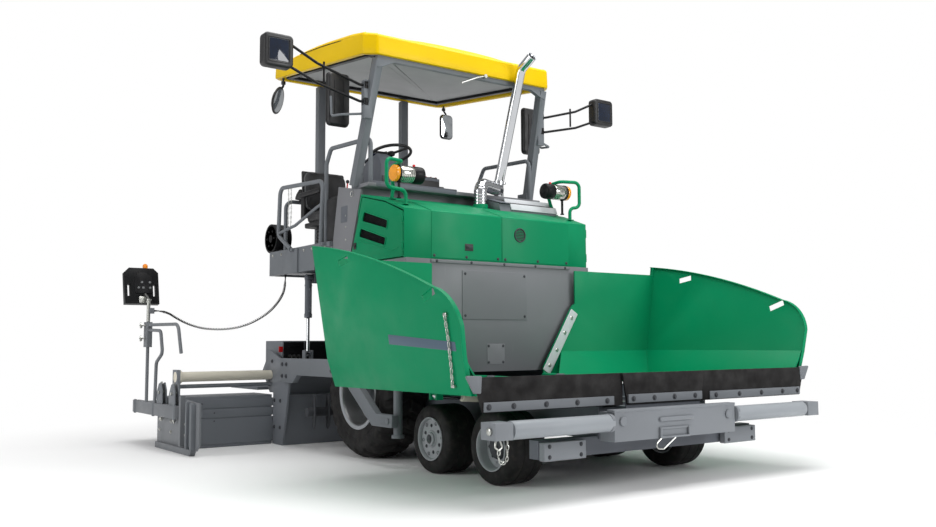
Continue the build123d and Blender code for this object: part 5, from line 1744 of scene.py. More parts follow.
@dataclass
class PushBeamFittings(Fitting):
    """What is welded and hung on the push beam.

    Attributes:
        front: y of the beam's front face.
    """

    rides = "push_beam_unit"
    front: float = -2.450

    def plates(self) -> Surface:
        """Pin heads, raised bar, coupling mouth and rounded brackets at the rollers' ends."""
        y = self.front
        head = [(0.001, 0.0), (0.026, 0.0), (0.028, 0.003), (0.028, 0.008), (0.024, 0.012)]
        head = reversed_profile([*head, (0.001, 0.012)])
        made = [lathe(head, Axis.Y, (x, y, 0.415), 28) for x in (-0.47, 0.47)]
        bar = oblong(0.300, 0.026, (-0.020, 0.412))
        made.append(slab(bar, 0.012, y - 0.016, y + 0.002, 0.007, Axis.Y))
        mouth = (-0.170, 0.092)
        made.append(bricks(
            (mouth, (y - 0.010, y + 0.002), (0.352, 0.366), 0.003),
            (mouth, (y - 0.018, y + 0.002), (0.300, 0.312), 0.004),
            ((-0.170, -0.156), (y - 0.018, y + 0.002), (0.302, 0.362), 0.004),
            ((0.078, 0.092), (y - 0.018, y + 0.002), (0.302, 0.362), 0.004),
            ((-0.540, 0.540), (y - 0.004, y + 0.060), (0.468, 0.484), 0.003),
        ))
        ear = oblong(0.100, 0.104, (-2.423, 0.410))
        for low in (-0.570, 0.545):
            made.append(slab(ear, 0.040, low, low + 0.025, 0.004, Axis.X, 8))
        return together(*made)

    def hardware(self) -> Surface:
        """Shaft ends, hanging loop of wire, shackle and its chain."""
        y = self.front
        cap = [(0.001, 0.0), (0.020, 0.0), (0.020, 0.010), (0.015, 0.014), (0.001, 0.014)]
        wire = [(-0.155, y - 0.012, 0.306), (-0.245, y - 0.016, 0.246)]
        wire += [(-0.150, y - 0.018, 0.238), (-0.030, y - 0.012, 0.305)]
        shackle = [(-1.390, -2.440, 0.365), (-1.400, -2.446, 0.330), (-1.376, -2.448, 0.312)]
        shackle += [(-1.352, -2.446, 0.330), (-1.362, -2.440, 0.365)]
        links = [(-1.376, -2.447, 0.316), (-1.372, -2.440, 0.27), (-1.340, -2.430, 0.235)]
        links += [(-1.300, -2.420, 0.26), (-1.285, -2.405, 0.365)]
        return together(
            lathe(cap, Axis.X, (1.415, -2.425, 0.410), 24).on_both(),
            loop_tube(wire, 0.020, 0.0045, 8),
            loop_tube(shackle, 0.010, 0.005, 8),
            chain(bent(links, 0.02, 5), 0.0035, 0.028),
        )

    def build(self) -> None:
        """Builds the frame's pads, the plates and the hardware."""
        at = [(x, -2.300, z) for x in (0.66, 0.90) for z in (0.228, 0.288)]
        pad = brick((0.620, 0.940), (-2.300, -2.255), (0.205, 0.310), 0.004)
        pads = together(pad, bolts(at, FORWARD, 0.009).wearing(1)).on_both()
        Fitting().add("frame_pads", pads, BEAM, IRON)
        self.add("push_beam_plates", self.plates(), BEAM)
        self.add("push_beam_hardware", self.hardware(), ZINC)


# ------------------------------------------------------------------ above the hood
@dataclass
class ExhaustTrim(Fitting):
    """Seams, clamp and dark mouth of the chrome stack, whose black disc paints soot and the shade
    inside the pipe, and the louvres beside it with a black strip of painted shade between them.

    Attributes:
        route: Corners of the pleated elbow's line.
        span: Lowest and highest x of the louvres.
    """

    route: tuple[Point, ...] = (
        (0.100, -0.320, 1.985), (0.100, -0.320, 2.165), (0.380, -0.155, 2.170),
    )
    span: Pair = (0.300, 0.792)

    def elbow(self) -> Surface:
        """Pleated elbow, its radius swelling with |sin| along the line, and the clamp."""
        route = bent(self.route, 0.085, 16)
        at = np.linspace(0.0, measured(route)[-1], 190)
        swell = 1.0 + 0.050 * np.abs(np.sin(np.pi * at / 0.026)) ** 0.7
        pleats = carried(sampled(route, at), ring(0.0515, 36), (0.31, -0.52, 0.05), scale=swell)
        clamp = plug(0.0455, -0.014, 0.014, 0.0415)
        clamp = lathe(clamp, Axis.Z, (0.452, -0.115, 2.236), 32, loop=True)
        return together(pleats, clamp, brick((0.496, 0.518), (-0.128, -0.102), (2.226, 2.246)))

    def build(self) -> None:
        """Builds the elbow, the black disc of soot and painted shade in the mouth, and the louvres.
        """
        self.add("exhaust_seams", self.elbow(), CHROME)
        # Black disc across the mouth: soot, and painted shade of the pipe's inside.
        mouth_soot_and_shade = lathe(plug(0.0355, -0.001, 0.0), Axis.Z, count=32)
        mouth_soot_and_shade = mouth_soot_and_shade.facing((0.076, -0.84, 0.537), (0.5008, -0.502, 3.2405))
        self.add("exhaust_mouth", mouth_soot_and_shade, BLACK)
        strips = (
            ((-0.478, 1.950), (-0.468, 1.948), (-0.445, 1.998), (-0.456, 2.002)),
            ((-0.398, 2.008), (-0.388, 2.006), (-0.370, 2.050), (-0.380, 2.056)),
        )
        slats = (slab(strip, 0.002, *self.span, 0.001, Axis.X) for strip in strips)
        self.add("outlet_louvres", together(*slats), POLISHED)
        # Black strip in the gap between the louvres: painted shade of the opening.
        gap = [(-0.452, 1.999), (-0.300, 2.049), (-0.300, 2.052), (-0.452, 2.002)]
        self.add("outlet_gaps", slab(gap, 0.001, *self.span, 0.0005, Axis.X), BLACK)
        plate = slab(oblong(0.114, 0.300, (0.243, 0.0)), 0.006, 0.0, 0.004, 0.001, Axis.Z)
        self.add("outlet_plate", plate.turned(16.0, Axis.X).moved(0.0, -0.330, 2.038), DARK_GREY)


@dataclass
class WorkLight(Fitting):
    """Drum lamp with an amber end, a bright reflector and a guard hoop.

    Attributes:
        foot: x of the stem and of the hoop's feet.
        middle: y and z of the lamp.
    """

    foot: float = 0.803
    middle: Pair = (-0.526, 2.125)

    def lamp(self) -> Surface:
        """Housing, seals and stem; the lenses wear the piece's second and third finish."""
        y, z = self.middle
        black = [(0.002, 0.600), (0.052, 0.600), (0.062, 0.608), (0.065, 0.620), (0.065, 0.676)]
        black += [(0.060, 0.686), (0.060, 0.694), (0.002, 0.694)]
        glass = [(0.002, 0.692), (0.058, 0.692), (0.061, 0.700), (0.0615, 0.758), (0.061, 0.812)]
        glass += [(0.057, 0.818), (0.002, 0.818)]
        amber = [(0.002, 0.824), (0.060, 0.824), (0.062, 0.828), (0.061, 0.852), (0.056, 0.857)]
        amber += [(0.002, 0.859)]
        stem = [(0.002, 1.940), (0.016, 1.940), (0.016, 1.948), (0.010, 1.952), (0.010, 2.056)]
        stem += [(0.018, 2.062), (0.018, 2.074), (0.002, 2.074)]
        bead = lathe(ring(0.0016, 8) + [0.0612, 0.0], Axis.Z, count=32, loop=True)
        made = [
            lathe(profile, Axis.X, (0.0, y, z), 40).wearing(finish)
            for profile, finish in ((black, 0), (glass, 2), (amber, 1))
        ]
        made.append(lathe(plug(0.0645, 0.812, 0.824, 0.058), Axis.X, (0.0, y, z), 40, loop=True))
        made.append(lathe(stem, Axis.Z, (self.foot, y, 0.0), 20))
        beads = (0.706, 0.722, 0.738, 0.754, 0.770, 0.786, 0.802)
        return together(*made, *(bead.facing(LEFT, (x, y, z)) for x in beads))

    def build(self) -> None:
        """Builds the lamp, its button and the hoop."""
        lamp = self.lamp()
        self.add("work_light", lamp, BLACK, AMBER, LENS, replaces=self.once("work_lights"))
        button = [(0.001, 0.0), (0.011, 0.0), (0.011, 0.012), (0.007, 0.017), (0.001, 0.018)]
        self.add("light_button", lathe(button, Axis.Z, (0.672, self.middle[0], 2.188), 18), RED)
        f, out = self.foot, self.foot + (0.175 if self.sign < 0 else 0.090)
        line = [
            (f, -0.620, 1.885), (f, -0.620, 1.985), (out, -0.640, 1.995), (out, -0.640, 2.205),
            (out - 0.165, -0.590, 2.205), (out - 0.170, -0.410, 2.190), (f - 0.025, -0.405, 2.040),
            (f, -0.425, 1.950),
        ]
        feet = (
            brick((f - 0.024, f + 0.024), (y - 0.024, y + 0.024), (z, z + 0.006), 0.002)
            for y, z in ((-0.620, 1.882), (-0.425, 1.943))
        )
        hoop = loop_tube(line, 0.045, 0.014, 14, (0.31, 0.17, 0.19))
        self.add("light_hoop", together(hoop, *feet), GREEN)


@dataclass
class TrafficSign(Fitting):
    """Blank signal box on two dark tubes, with the strap between them.

    Attributes:
        centre: Middle of the box on the left side.
        feet: Height of each tube at the post, and at the box above its middle.
    """

    centre: Point = (1.623, -0.162, 2.996)
    feet: tuple[Pair, ...] = ((2.860, 0.085), (2.730, -0.085))

    def box(self) -> Surface:
        """Rounded housing with a raised bezel, cooling ribs behind and a dark screen."""
        x, y, z = self.centre
        bezel = seated(rounded(oblong(0.166, 0.180, (x, z)), 0.014, 6)[0], y - 0.046, Axis.Y)
        screen = slab(oblong(0.150, 0.164, (x, z)), 0.010, y - 0.0475, y - 0.040, 0.002, Axis.Y)
        ribs = (
            brick(
                (x + k - 0.004, x + k + 0.004), (y + 0.044, y + 0.0495), (z - 0.090, z + 0.090),
                0.002,
            )
            for k in (-0.07, -0.035, 0.0, 0.035, 0.07)
        )
        return together(
            slab(oblong(0.230, 0.244, (x, z)), 0.034, y - 0.046, y + 0.050, 0.016, Axis.Y, 7),
            screen.wearing(1), carried(bezel, ring(0.0045, 8), ALONG_Y, closed=True), *ribs,
        )

    def arms(self) -> Surface:
        """Tubes from the post's bracket to the box, and their strap and bolts."""
        _, y, z = self.centre
        made = []
        for foot, rise in self.feet:
            end = z + rise
            line = [(0.880, foot), (0.935, foot), (1.300, 0.52 * foot + 0.48 * end), (1.545, end)]
            made += [
                loop_tube(seated(line, y, Axis.Y), 0.05, 0.0105),
                brick((0.872, 0.905), (y - 0.028, y + 0.028), (foot - 0.030, foot + 0.030), 0.004),
                bolts((0.890, y - 0.028, foot), FORWARD, 0.009),
            ]
        return together(*made, rods((1.240, y, 2.820), (1.240, y, 2.985), 0.008, 10))

    def build(self) -> None:
        """Builds the box and its arms."""
        self.add("signal_box", self.box(), PLASTIC, SCREEN, replaces=self.once("traffic_signs"))
        self.add("signal_arms", self.arms(), BLACK)


@dataclass
class Mirrors(Fitting):
    """Long mirrors at the front posts, a round and a small one at the rear corners.

    Attributes:
        long: Middle x and z of the long mirror.
        small: Middle x and z of the small one.
        stem: y of the rear mirrors' stems.
    """

    long: Pair = (0.985, 2.790)
    small: Pair = (0.880, 3.050)
    stem: float = 1.300

    def long_mirror(self) -> Surface:
        """Housing with a crowned back, its frame and the glass that faces the operators."""
        plates = (
            (0.190, 0.420, 0.034, 0.070, 0.112, 0.018, 0),
            (0.200, 0.430, 0.036, 0.098, 0.114, 0.005, 0),
            (0.176, 0.404, 0.028, 0.110, 0.1155, 0.001, 1),
        )
        made = [
            slab(oblong(wide, tall, self.long), radius, low, high, edge, Axis.Y, 7).wearing(finish)
            for wide, tall, radius, low, high, edge, finish in plates
        ]
        ribs = [
            ((x - 0.004, x + 0.004), (0.064, 0.074), (2.640, 2.940), 0.002) for x in (0.945, 1.025)
        ]
        return together(*made, bricks(*ribs))

    def rear(self) -> Surface:
        """Round mirror on the right and the small one on the left, with their stems and clamps."""
        disc = [(0.002, -0.004), (0.112, -0.006), (0.122, -0.004), (0.125, 0.002), (0.121, 0.008)]
        disc += [(0.112, 0.010), (0.090, 0.026), (0.050, 0.038), (0.002, 0.042)]
        glass = [
            (0.002, -0.012), (0.060, -0.010), (0.112, -0.0055), (0.112, -0.002), (0.002, -0.002),
        ]
        y = self.stem
        back, face = lathe(disc, Axis.Z, count=48), lathe(glass, Axis.Z, count=48).wearing(1)
        right = [
            (-0.900, y, 3.262), (-0.900, y, 3.190), (-0.945, 1.315, 3.120), (-0.968, 1.325, 3.060),
        ]
        left = [(0.850, y, 3.262), (0.850, y, 3.215), (0.880, 1.302, 3.180), (0.880, 1.302, 3.120)]
        return together(
            *(part.facing((-0.70, 0.66, 0.26), (-0.950, y, 3.050)) for part in (back, face)),
            loop_tube(right, 0.03, 0.010, 12, (0.3, 0.9, 0.2)),
            loop_tube(left, 0.02, 0.009, 12, (0.3, 0.9, 0.2)),
            lathe(plug(0.020, 0.0, 0.026, 0.002), Axis.Z, (-0.900, y, 3.205), 20),
            lathe(plug(0.018, 0.0, 0.024, 0.002), Axis.Z, (0.850, y, 3.215), 20),
            slab(oblong(0.150, 0.250, self.small), 0.040, y - 0.014, y + 0.012, 0.010, Axis.Y, 7),
            slab(
                oblong(0.130, 0.228, self.small), 0.032, y - 0.0165, y - 0.010, 0.001, Axis.Y, 7,
            ).wearing(1),
        )

    def build(self) -> None:
        """Builds all mirrors."""
        hook = [(0.893, -0.150, 2.640), (1.055, -0.080, 2.625), (1.062, 0.055, 2.640)]
        hook = loop_tube([*hook, (1.062, 0.066, 2.800)], 0.035, 0.0095, 12, (0.2, 0.3, 0.1))
        for side in SIDES:
            one = Fitting(*side)
            one.add(
                "long_mirror", self.long_mirror(), PLASTIC, MIRROR, replaces=one.once("mirrors"),
            )
            one.add("mirror_hook", hook, GREY)
        self.add("rear_mirrors", self.rear(), PLASTIC, MIRROR)


# ------------------------------------------------------------------ operator's place
def padded_slab(
    corners: Array, radius: float, low: float, high: float, edge: float, axis: Axis,
    crown: float,
) -> Surface:
    """Cushion: a slab whose two faces swell by c (1 - u^4) (1 - v^4), with closely spaced rows.

    Args:
        corners: As for a slab; u and v run from -1 to 1 over their width and height.
        radius: Corner radius.
        low: Where the cushion starts along the axis.
        high: Where it ends.
        edge: Radius of the rim.
        axis: Direction across the cushion.
        crown: Swelling c of the upper face; the lower one has 0.4 of it.

    Returns:
        The closed cushion.
    """
    outline, outward = rounded(corners, radius, 9)
    middle = (outline.max(0) + outline.min(0)) / 2
    half = (outline.max(0) - outline.min(0)) / 2
    inset, rise = rim_rows(edge, 7)
    shares = np.array([0.02, 0.2, 0.4, 0.6, 0.8, 0.93])
    inner = middle + shares[:, None, None] * (outline - edge * outward - middle)
    flat = np.concatenate([inner, outline - inset[:, None, None] * outward])
    lift = np.concatenate([0.0 * shares, rise])[:, None]
    swell = crown * np.prod(np.clip(1 - ((flat - middle) / half) ** 4, 0, 1), axis=-1)
    bottom = seated(flat, low + lift - 0.4 * swell, axis)
    top = seated(flat[::-1], (high - lift + swell)[::-1], axis)
    made = grid(np.concatenate([bottom, top]))
    return made.flipped() if axis is Axis.Y else made


def inflate(made: bpy.types.Object, voxel: float, cap: float) -> None:
    """Fills a cushion by cloth simulation and keeps the result.

    Args:
        made: The cushion.
        voxel: Size of the cells that its mesh is rebuilt from.
        cap: Furthest that a point may move.
    """
    remesh = made.modifiers.new("remesh", "REMESH")
    remesh.mode = "VOXEL"
    remesh.voxel_size = voxel
    graph = bpy.context.evaluated_depsgraph_get()
    materials = list(made.data.materials)
    rebuilt = bpy.data.meshes.new_from_object(made.evaluated_get(graph))
    made.modifiers.remove(remesh)
    made.data = rebuilt
    start = coordinates(rebuilt)
    cloth = made.modifiers.new("cloth", "CLOTH")
    cloth.settings.use_pressure = True
    cloth.settings.uniform_pressure_force = 4.0
    cloth.settings.effector_weights.gravity = 0.0
    scene = bpy.context.scene
    for number in range(1, 21):
        scene.frame_set(number)
    graph = bpy.context.evaluated_depsgraph_get()
    filled = bpy.data.meshes.new_from_object(made.evaluated_get(graph))
    move = coordinates(filled) - start
    far = np.linalg.norm(move, axis=1, keepdims=True)
    move *= np.minimum(1.0, cap / np.maximum(far, 1e-9))
    filled.vertices.foreach_set("co", (start + move).ravel())
    made.modifiers.remove(cloth)
    scene.frame_set(1)
    made.data = filled
    filled.materials.clear()
    for material in materials:
        filled.materials.append(material)
    filled.shade_smooth()
    smooth = made.modifiers.new("subdivision", "SUBSURF")
    smooth.levels = 1
    smooth.render_levels = 1


@dataclass
class Seat(Fitting):
    """Operator's seat: padded cushion and back with piping, arm rests and a bellows pedestal.

    Attributes:
        x: Middle of the seat.
        y: Its middle from front to back.
        back: Height of the back's middle.
        pivot: Height about which the back leans.
        lean: How far the back leans for each metre of height.
    """

    x: float = 0.560
    y: float = 0.900
    back: float = 2.225
    pivot: float = 2.030
    lean: float = 0.17

    def base(self) -> Surface:
        """Pedestal with bellows, pan, the back's shell and arm rests."""
        x, y = self.x, self.y
        made = []
        for k in range(6):
            low = 1.702 + 0.030 * k
            fold = oblong(0.296, 0.296, (x, y))
            made.append(slab(fold, 0.05, low, low + 0.028, 0.011, Axis.Z))
        made.append(slab(oblong(0.440, 0.430, (x, y)), 0.04, 1.884, 1.926, 0.010, Axis.Z))
        shell = [(0.244, 2.010), (0.262, 1.975), (0.296, 2.400), (0.282, 2.412), (0.262, 2.395)]
        shell = np.array(shell) + [y, 0.0]
        made.append(slab(shell, 0.004, x - 0.205, x + 0.205, 0.003, Axis.X))
        for ax in (x - 0.270, x + 0.225):
            rest = oblong(0.045, 0.400, (ax + 0.0225, y + 0.030))
            made.append(slab(rest, 0.018, 2.152, 2.194, 0.012, Axis.Z, 7))
            made.append(
                brick((ax + 0.012, ax + 0.033), (y + 0.130, y + 0.190), (1.965, 2.160), 0.005)
            )
        return together(*made)

    def piping(self) -> Surface:
        """Pale piping round the back and two stripes down it."""
        x, y = self.x, self.y
        outline = rounded(oblong(0.400, 0.350, (x, self.back)), 0.07, 8)[0]
        path = seated(outline, y + 0.180 + self.lean * (outline[:, 1] - self.pivot), Axis.Y)
        made = [carried(path, ring(0.0042, 8), ALONG_Y, closed=True)]
        z = np.linspace(2.075, 2.375, 14)
        for dx in (-0.105, 0.105):
            line = np.stack([np.full(14, x + dx), y + 0.1685 + self.lean * (z - self.pivot), z], -1)
            made.append(carried(line, ring(0.0045, 8), ALONG_Y))
        return together(*made)

    def build(self) -> None:
        """Builds the frame, fills the cushions and adds the piping."""
        self.add("seat_frame", self.base(), PLASTIC, replaces=self.once("seats"))
        x, y = self.x, self.y
        cushion = oblong(0.440, 0.420, (x, y - 0.010))
        cushion = padded_slab(cushion, 0.06, 1.930, 2.008, 0.030, Axis.Z, 0.010)
        seat = self.add("seat_cushion", cushion, SEAT_COVER)
        back = oblong(0.420, 0.370, (x, self.back))
        back = padded_slab(back, 0.07, y + 0.180, y + 0.236, 0.024, Axis.Y, 0.008)
        back.points[:, 1] += self.lean * (back.points[:, 2] - self.pivot) - 0.010
        rest = self.add("seat_back", back, SEAT_COVER)
        inflate(seat, 0.006, 0.012)
        inflate(rest, 0.006, 0.010)
        self.add("seat_piping", self.piping(), GREY_PLASTIC)


@dataclass
class Station(Fitting):
    """Steering console, covers, bulkhead bar, hose drum, chains and deck details.

    Attributes:
        drum: y and z of the hose drum's axis.
        deck: Height of the tread bars.
    """

    drum: Pair = (1.690, 1.845)
    deck: float = 1.7008

    def console(self) -> Surface:
        """Body of the console: its side outline at rows of x, held below a sloping top."""
        corners = [(0.150, 1.700), (0.350, 1.700), (0.470, 2.300), (0.410, 2.380)]
        outline, outward = rounded(corners + [(0.210, 2.440), (0.150, 2.330)], 0.020, 5)
        middle = np.array([0.30, 2.0])
        places = [(-0.560, 0.03, 0.0), (-0.560, 0.6, 0.0), (-0.560, 1.0, 0.008)]
        places += [(-0.558, 1.0, 0.003), (-0.553, 1.0, 0.0)]
        places += [(float(x), 1.0, 0.0) for x in np.linspace(-0.50, 0.0, 21)]
        places += [(0.013, 1.0, 0.0), (0.018, 1.0, 0.003)]
        places += [(0.020, 1.0, 0.008), (0.020, 0.6, 0.0), (0.020, 0.03, 0.0)]
        rows = []
        for x, share, inset in places:
            flat = middle + share * (outline - inset * outward - middle)
            # The top falls from the operator's side to past the steering wheel.
            top = np.interp(x, (-0.465, -0.131), (2.430, 2.262))
            flat[:, 1] = np.minimum(flat[:, 1], top)
            rows.append(seated(flat, x, Axis.X))
        return grid(np.array(rows))

    def fixtures(self) -> Surface:
        """Cabinet, column, switches, screen and levers; keys and screens wear other finishes."""
        knob = [(0.001, -0.016), (0.012, -0.011), (0.016, 0.0), (0.012, 0.011), (0.001, 0.016)]
        screen = brick((-0.550, -0.480), (0.200, 0.400), (-0.001, 0.008), 0.003)
        made = [
            brick((-0.800, -0.560), (0.300, 0.620), (1.700, 2.080), 0.008),
            rods((-0.310, 0.360, 2.290), (-0.372, 0.412, 2.492), 0.026, 20),
            brick((-0.790, -0.570), (0.310, 0.610), (2.078, 2.092), 0.005),
            screen.turned(-15.0, Axis.X).moved(0.0, 0.085, 2.492).wearing(1),
        ]
        for x in (-0.740, -0.680, -0.620):
            made.append(rods((x, 0.40, 2.090), (x, 0.38, 2.190), 0.006).wearing(2))
            made.append(lathe(knob, Axis.Z, (x, 0.38, 2.200), 16))
        made.append(brick((-0.110, 0.012), (0.170, 0.380), (2.258, 2.276), 0.006))
        keys = (
            brick((x, x + 0.004), (0.176, 0.374), (2.275, 2.282), 0.001)
            for x in (-0.100, -0.050, 0.0)
        )
        return together(*made, *(key.wearing(2) for key in keys))

    def covers(self) -> Surface:
        """Black side covers of the console and the cabinet, and the beacon with its stem."""
        cone = [(0.002, 0.0), (0.050, 0.0), (0.052, 0.012), (0.040, 0.050), (0.018, 0.090)]
        return together(
            brick((-0.550, 0.010), (0.144, 0.152), (1.760, 2.240), 0.003),
            brick((-0.806, -0.798), (0.310, 0.610), (1.730, 2.070), 0.003),
            lathe([*cone, (0.002, 0.096)], Axis.Z, (-0.640, 1.460, 2.200), 28),
            rods((-0.640, 1.490, 2.180), (-0.640, 1.462, 2.205), 0.010),
        )

    def hose_drum(self) -> Surface:
        """Flanges, wound hose, hub and bolts of the spray drum."""
        y, z = self.drum
        flange = [
            (0.002, 0.0), (0.118, 0.0), (0.134, 0.001), (0.1345, 0.006), (0.118, 0.008),
            (0.002, 0.008),
        ]
        hub = [(0.002, -0.834), (0.032, -0.834), (0.036, -0.829), (0.002, -0.829)]
        coils = 8
        angle = np.linspace(0, 2 * np.pi * coils, 40 * coils)
        hose = [
            -0.815 + 0.118 * angle / angle[-1], y + 0.104 * np.cos(angle),
            z + 0.104 * np.sin(angle),
        ]
        return together(
            *(
                lathe([(r, x + h) for r, h in flange], Axis.X, (0.0, y, z), 48)
                for x in (-0.830, -0.688)
            ),
            carried(np.stack(hose, -1), ring(0.0072, 8), ALONG_X).wearing(1),
            lathe(hub, Axis.X, (0.0, y, z), 24),
            bolts(circle(0.075, 6, (-0.8302, y, z)), (-1, 0, 0), 0.007),
        )

    def tread(self) -> Surface:
        """Tread pattern: rows of short raised bars on the deck, turned by quarters."""
        xs, ys = np.meshgrid(np.arange(-0.235, 0.24, 0.047), np.arange(0.66, 1.50, 0.047))
        places = np.stack([xs.ravel(), ys.ravel(), np.full(xs.size, self.deck)], -1)
        bar = brick((-0.015, 0.015), (-0.0032, 0.0032), (-0.0006, 0.0012), 0.0005)
        even = np.indices(xs.shape).sum(0).ravel() % 2 == 0
        turn = np.where(even, np.pi / 4, -np.pi / 4)
        frames = np.zeros((xs.size, 3, 3))
        frames[:, 0, 0], frames[:, 0, 1] = np.cos(turn), -np.sin(turn)
        frames[:, 1, 0], frames[:, 1, 1] = np.sin(turn), np.cos(turn)
        frames[:, 2, 2] = 1.0
        return bar.copied(places, frames)

    def build(self) -> None:
        """Builds everything in the operator's place."""
        self.add("dash", self.console(), DARK_GREY, replaces=("console",))
        self.add("dash_fixtures", self.fixtures(), PLASTIC, SCREEN, RED)
        self.add("station_covers", self.covers(), PLASTIC)
        self.add("hose_drum", self.hose_drum(), BLACK, CABLE)
        self.add("deck_tread", self.tread(), GREY)
        bar = bricks(
            ((-0.790, -0.030), (-0.172, -0.130), (2.082, 2.112), 0.004),
            ((-0.780, 0.060), (-0.048, -0.036), (2.108, 2.150), 0.003),
        )
        self.add("bulkhead_bar", bar, DARK_GREY)
        line = [(-0.930, 1.100, 2.222), (-0.932, 1.088, 2.06), (-0.934, 1.090, 1.96)]
        line = np.array([*line, (-0.932, 1.100, 1.872)])
        chains = (chain(line - [0.0, back, 0.0], 0.0022, 0.020) for back in (0.0, 0.052))
        self.add("rail_chains", together(*chains), ZINC)
        screws = [(-0.9005, y, 1.665) for y in (0.46, 0.70, 0.85, 1.30, 1.48)]
        self.add("deck_bolts", bolts(screws, (-1, 0, 0), 0.009).on_both(), ZINC)


# ------------------------------------------------------------------ behind
@dataclass
class RemoteControl(Fitting):
    """Outer control panel with buttons, lamp knob, clamp and star handles.

    Attributes:
        centre: Middle of the panel.
        tilt: How far it leans back, in degrees.
        post: x and y of the post.
    """

    rides = "{side}_screed_extension"
    centre: Point = (1.880, 2.110, 1.390)
    tilt: float = -12.0
    post: Pair = (1.850, 1.970)

    def leaning(self, made: Surface) -> Surface:
        """What is drawn round the panel's middle, put in its place."""
        return made.turned(self.tilt, Axis.X).moved(*self.centre)

    def face(self) -> Surface:
        """Raised key field and keys on the panel's front, drawn round its middle."""
        field = [(-0.095, -0.070), (0.060, -0.070), (0.060, 0.090), (0.035, 0.120), (-0.045, 0.120)]
        field = slab([*field, (-0.095, 0.075)], 0.012, -0.034, -0.0265, 0.004, Axis.Y)
        key = [(0.001, 0.0), (0.011, 0.0), (0.011, 0.005), (0.008, 0.008), (0.001, 0.008)]
        key = lathe(key, Axis.Z, count=14).wearing(1)
        places = (
            (0.0, 0.030), (-0.070, 0.030), (0.030, -0.020), (-0.010, -0.020), (-0.070, -0.020),
        )
        return together(field, *(key.facing(FORWARD, (x, -0.034, z)) for x, z in places))

    def lamp(self) -> Surface:
        """Orange knob on the upper edge."""
        knob = [(0.002, 0.0), (0.020, 0.0), (0.021, 0.020), (0.023, 0.028), (0.021, 0.042)]
        return lathe([*knob, (0.012, 0.052), (0.001, 0.054)], Axis.Z, (-0.045, 0.0, 0.158), 24)

    def clamp(self) -> Surface:
        """Galvanised plates that hold the panel on its post, and the two star handles."""
        x, y = self.post
        tips = seated(0.024 * turns(5), 0.0, Axis.X)
        star = (rods((0.0, 0.0, 0.0), tip, 0.0080, 10) for tip in tips)
        head = together(*star, rods((-0.040, 0.0, 0.0), (0.006, 0.0, 0.0), 0.006, 12))
        return together(
            self.leaning(brick((-0.050, 0.030), (-0.038, -0.027), (-0.160, -0.100), 0.004)),
            rods((x, y, 1.075), (x, y, 1.262), 0.0155, 18),
            rods((x, y, 1.262), (x + 0.0045, y + 0.110, 1.320), 0.0155, 18),
            lathe(plug(0.022, 0.0, 0.012, 0.002), Axis.Z, (x, y, 1.262), 18),
            *(head.moved(x + 0.062, y, z) for z in (1.040, 0.926)),
        )

    def build(self) -> None:
        """Builds what the panel and its post carry."""
        face = self.leaning(self.face())
        self.add("remote_keys", face, BLACK, GREY_PLASTIC, slot="black_plastic")
        self.add("remote_lamp", self.leaning(self.lamp()), ORANGE)
        self.add("remote_clamp", self.clamp(), ZINC)


@dataclass
class ScreedEnd(Fitting):
    """Ribs, links, folded walls and bolts of a screed extension and its end plate.

    Attributes:
        plate: x of the end plate's outer face.
    """

    rides = "{side}_screed_extension"
    plate: float = 1.800

    def front(self) -> Surface:
        """Folded front wall of the extension: overlapping plates and their holes."""
        plates = bricks(
            ((0.850, 1.780), (1.4005, 1.4065), (0.330, 0.402), 0.002),
            ((0.850, 1.780), (1.3995, 1.4065), (0.250, 0.322), 0.002),
            ((0.850, 1.780), (1.4010, 1.4065), (0.026, 0.243), 0.002),
            ((0.932, 1.780), (1.3995, 1.4065), (0.004, 0.018), 0.002),
        )
        holes = [(1.45, 1.4030, 0.290), (1.45, 1.4040, 0.222), (1.56, 1.4035, 0.370)]
        return together(plates, bolts(holes, FORWARD, 0.007).wearing(1))

    def ribs(self) -> Surface:
        """Channels, links and hook plates on the outside of the end plate."""
        x = self.plate
        made = [bricks(
            ((x - 0.002, x + 0.038), (0.870, 0.900), (0.052, 0.405), 0.004),
            ((x - 0.002, x + 0.038), (0.985, 1.010), (0.052, 0.418), 0.004),
            ((x - 0.002, x + 0.014), (0.895, 0.990), (0.060, 0.412), 0.004),
            *(
                ((x + 0.040, x + 0.060), (y, y + 0.030), (0.262, 0.383), 0.004)
                for y in (1.215, 1.760, 2.280)
            ),
        )]
        hook = [(-0.070, 0.0), (0.070, 0.0), (0.085, 0.090), (0.030, 0.170), (-0.020, 0.185)]
        hook.append((-0.060, 0.120))
        nut = plug(0.017, 0.0, 0.016, 0.002)
        for y in (1.30, 1.62):
            for low in (x + 0.004, x + 0.038):
                plate = slab(hook, 0.015, low, low + 0.010, 0.003, Axis.X)
                made.append(plate.moved(0.0, y, 0.372))
            made += [
                rods((x - 0.002, y, 0.470), (x + 0.060, y, 0.470), 0.013, 16).wearing(1),
                rods(
                    (x + 0.030, y - 0.01, 0.230), (x + 0.030, y + 0.005, 0.560), 0.008, 12,
                ).wearing(1),
                lathe(nut, Axis.Z, (x + 0.030, y - 0.008, 0.244), 6).wearing(1),
            ]
        at = [(x + 0.0005, y, z) for y in (1.10, 1.45, 1.74) for z in (0.150, 0.235)]
        return together(*made, bolts(at, LEFT, 0.011).wearing(1))

    def flange(self) -> Surface:
        """Cream flange of the guide tube, on the extension's bracket."""
        x = 1.745
        profile = [(0.0425, x - 0.015), (0.056, x - 0.015), (0.058, x - 0.012), (0.058, x + 0.001)]
        return lathe([*profile, (0.0425, x + 0.001)], Axis.X, (0.0, 1.452, 0.600), 40, loop=True)

    def build(self) -> None:
        """Builds everything that slides with the extension."""
        self.add("extension_front", self.front(), SCREED, IRON)
        self.add("end_plate_fittings", self.ribs(), GREY, ZINC)
        self.add("tube_flange", self.flange(), CREAM)


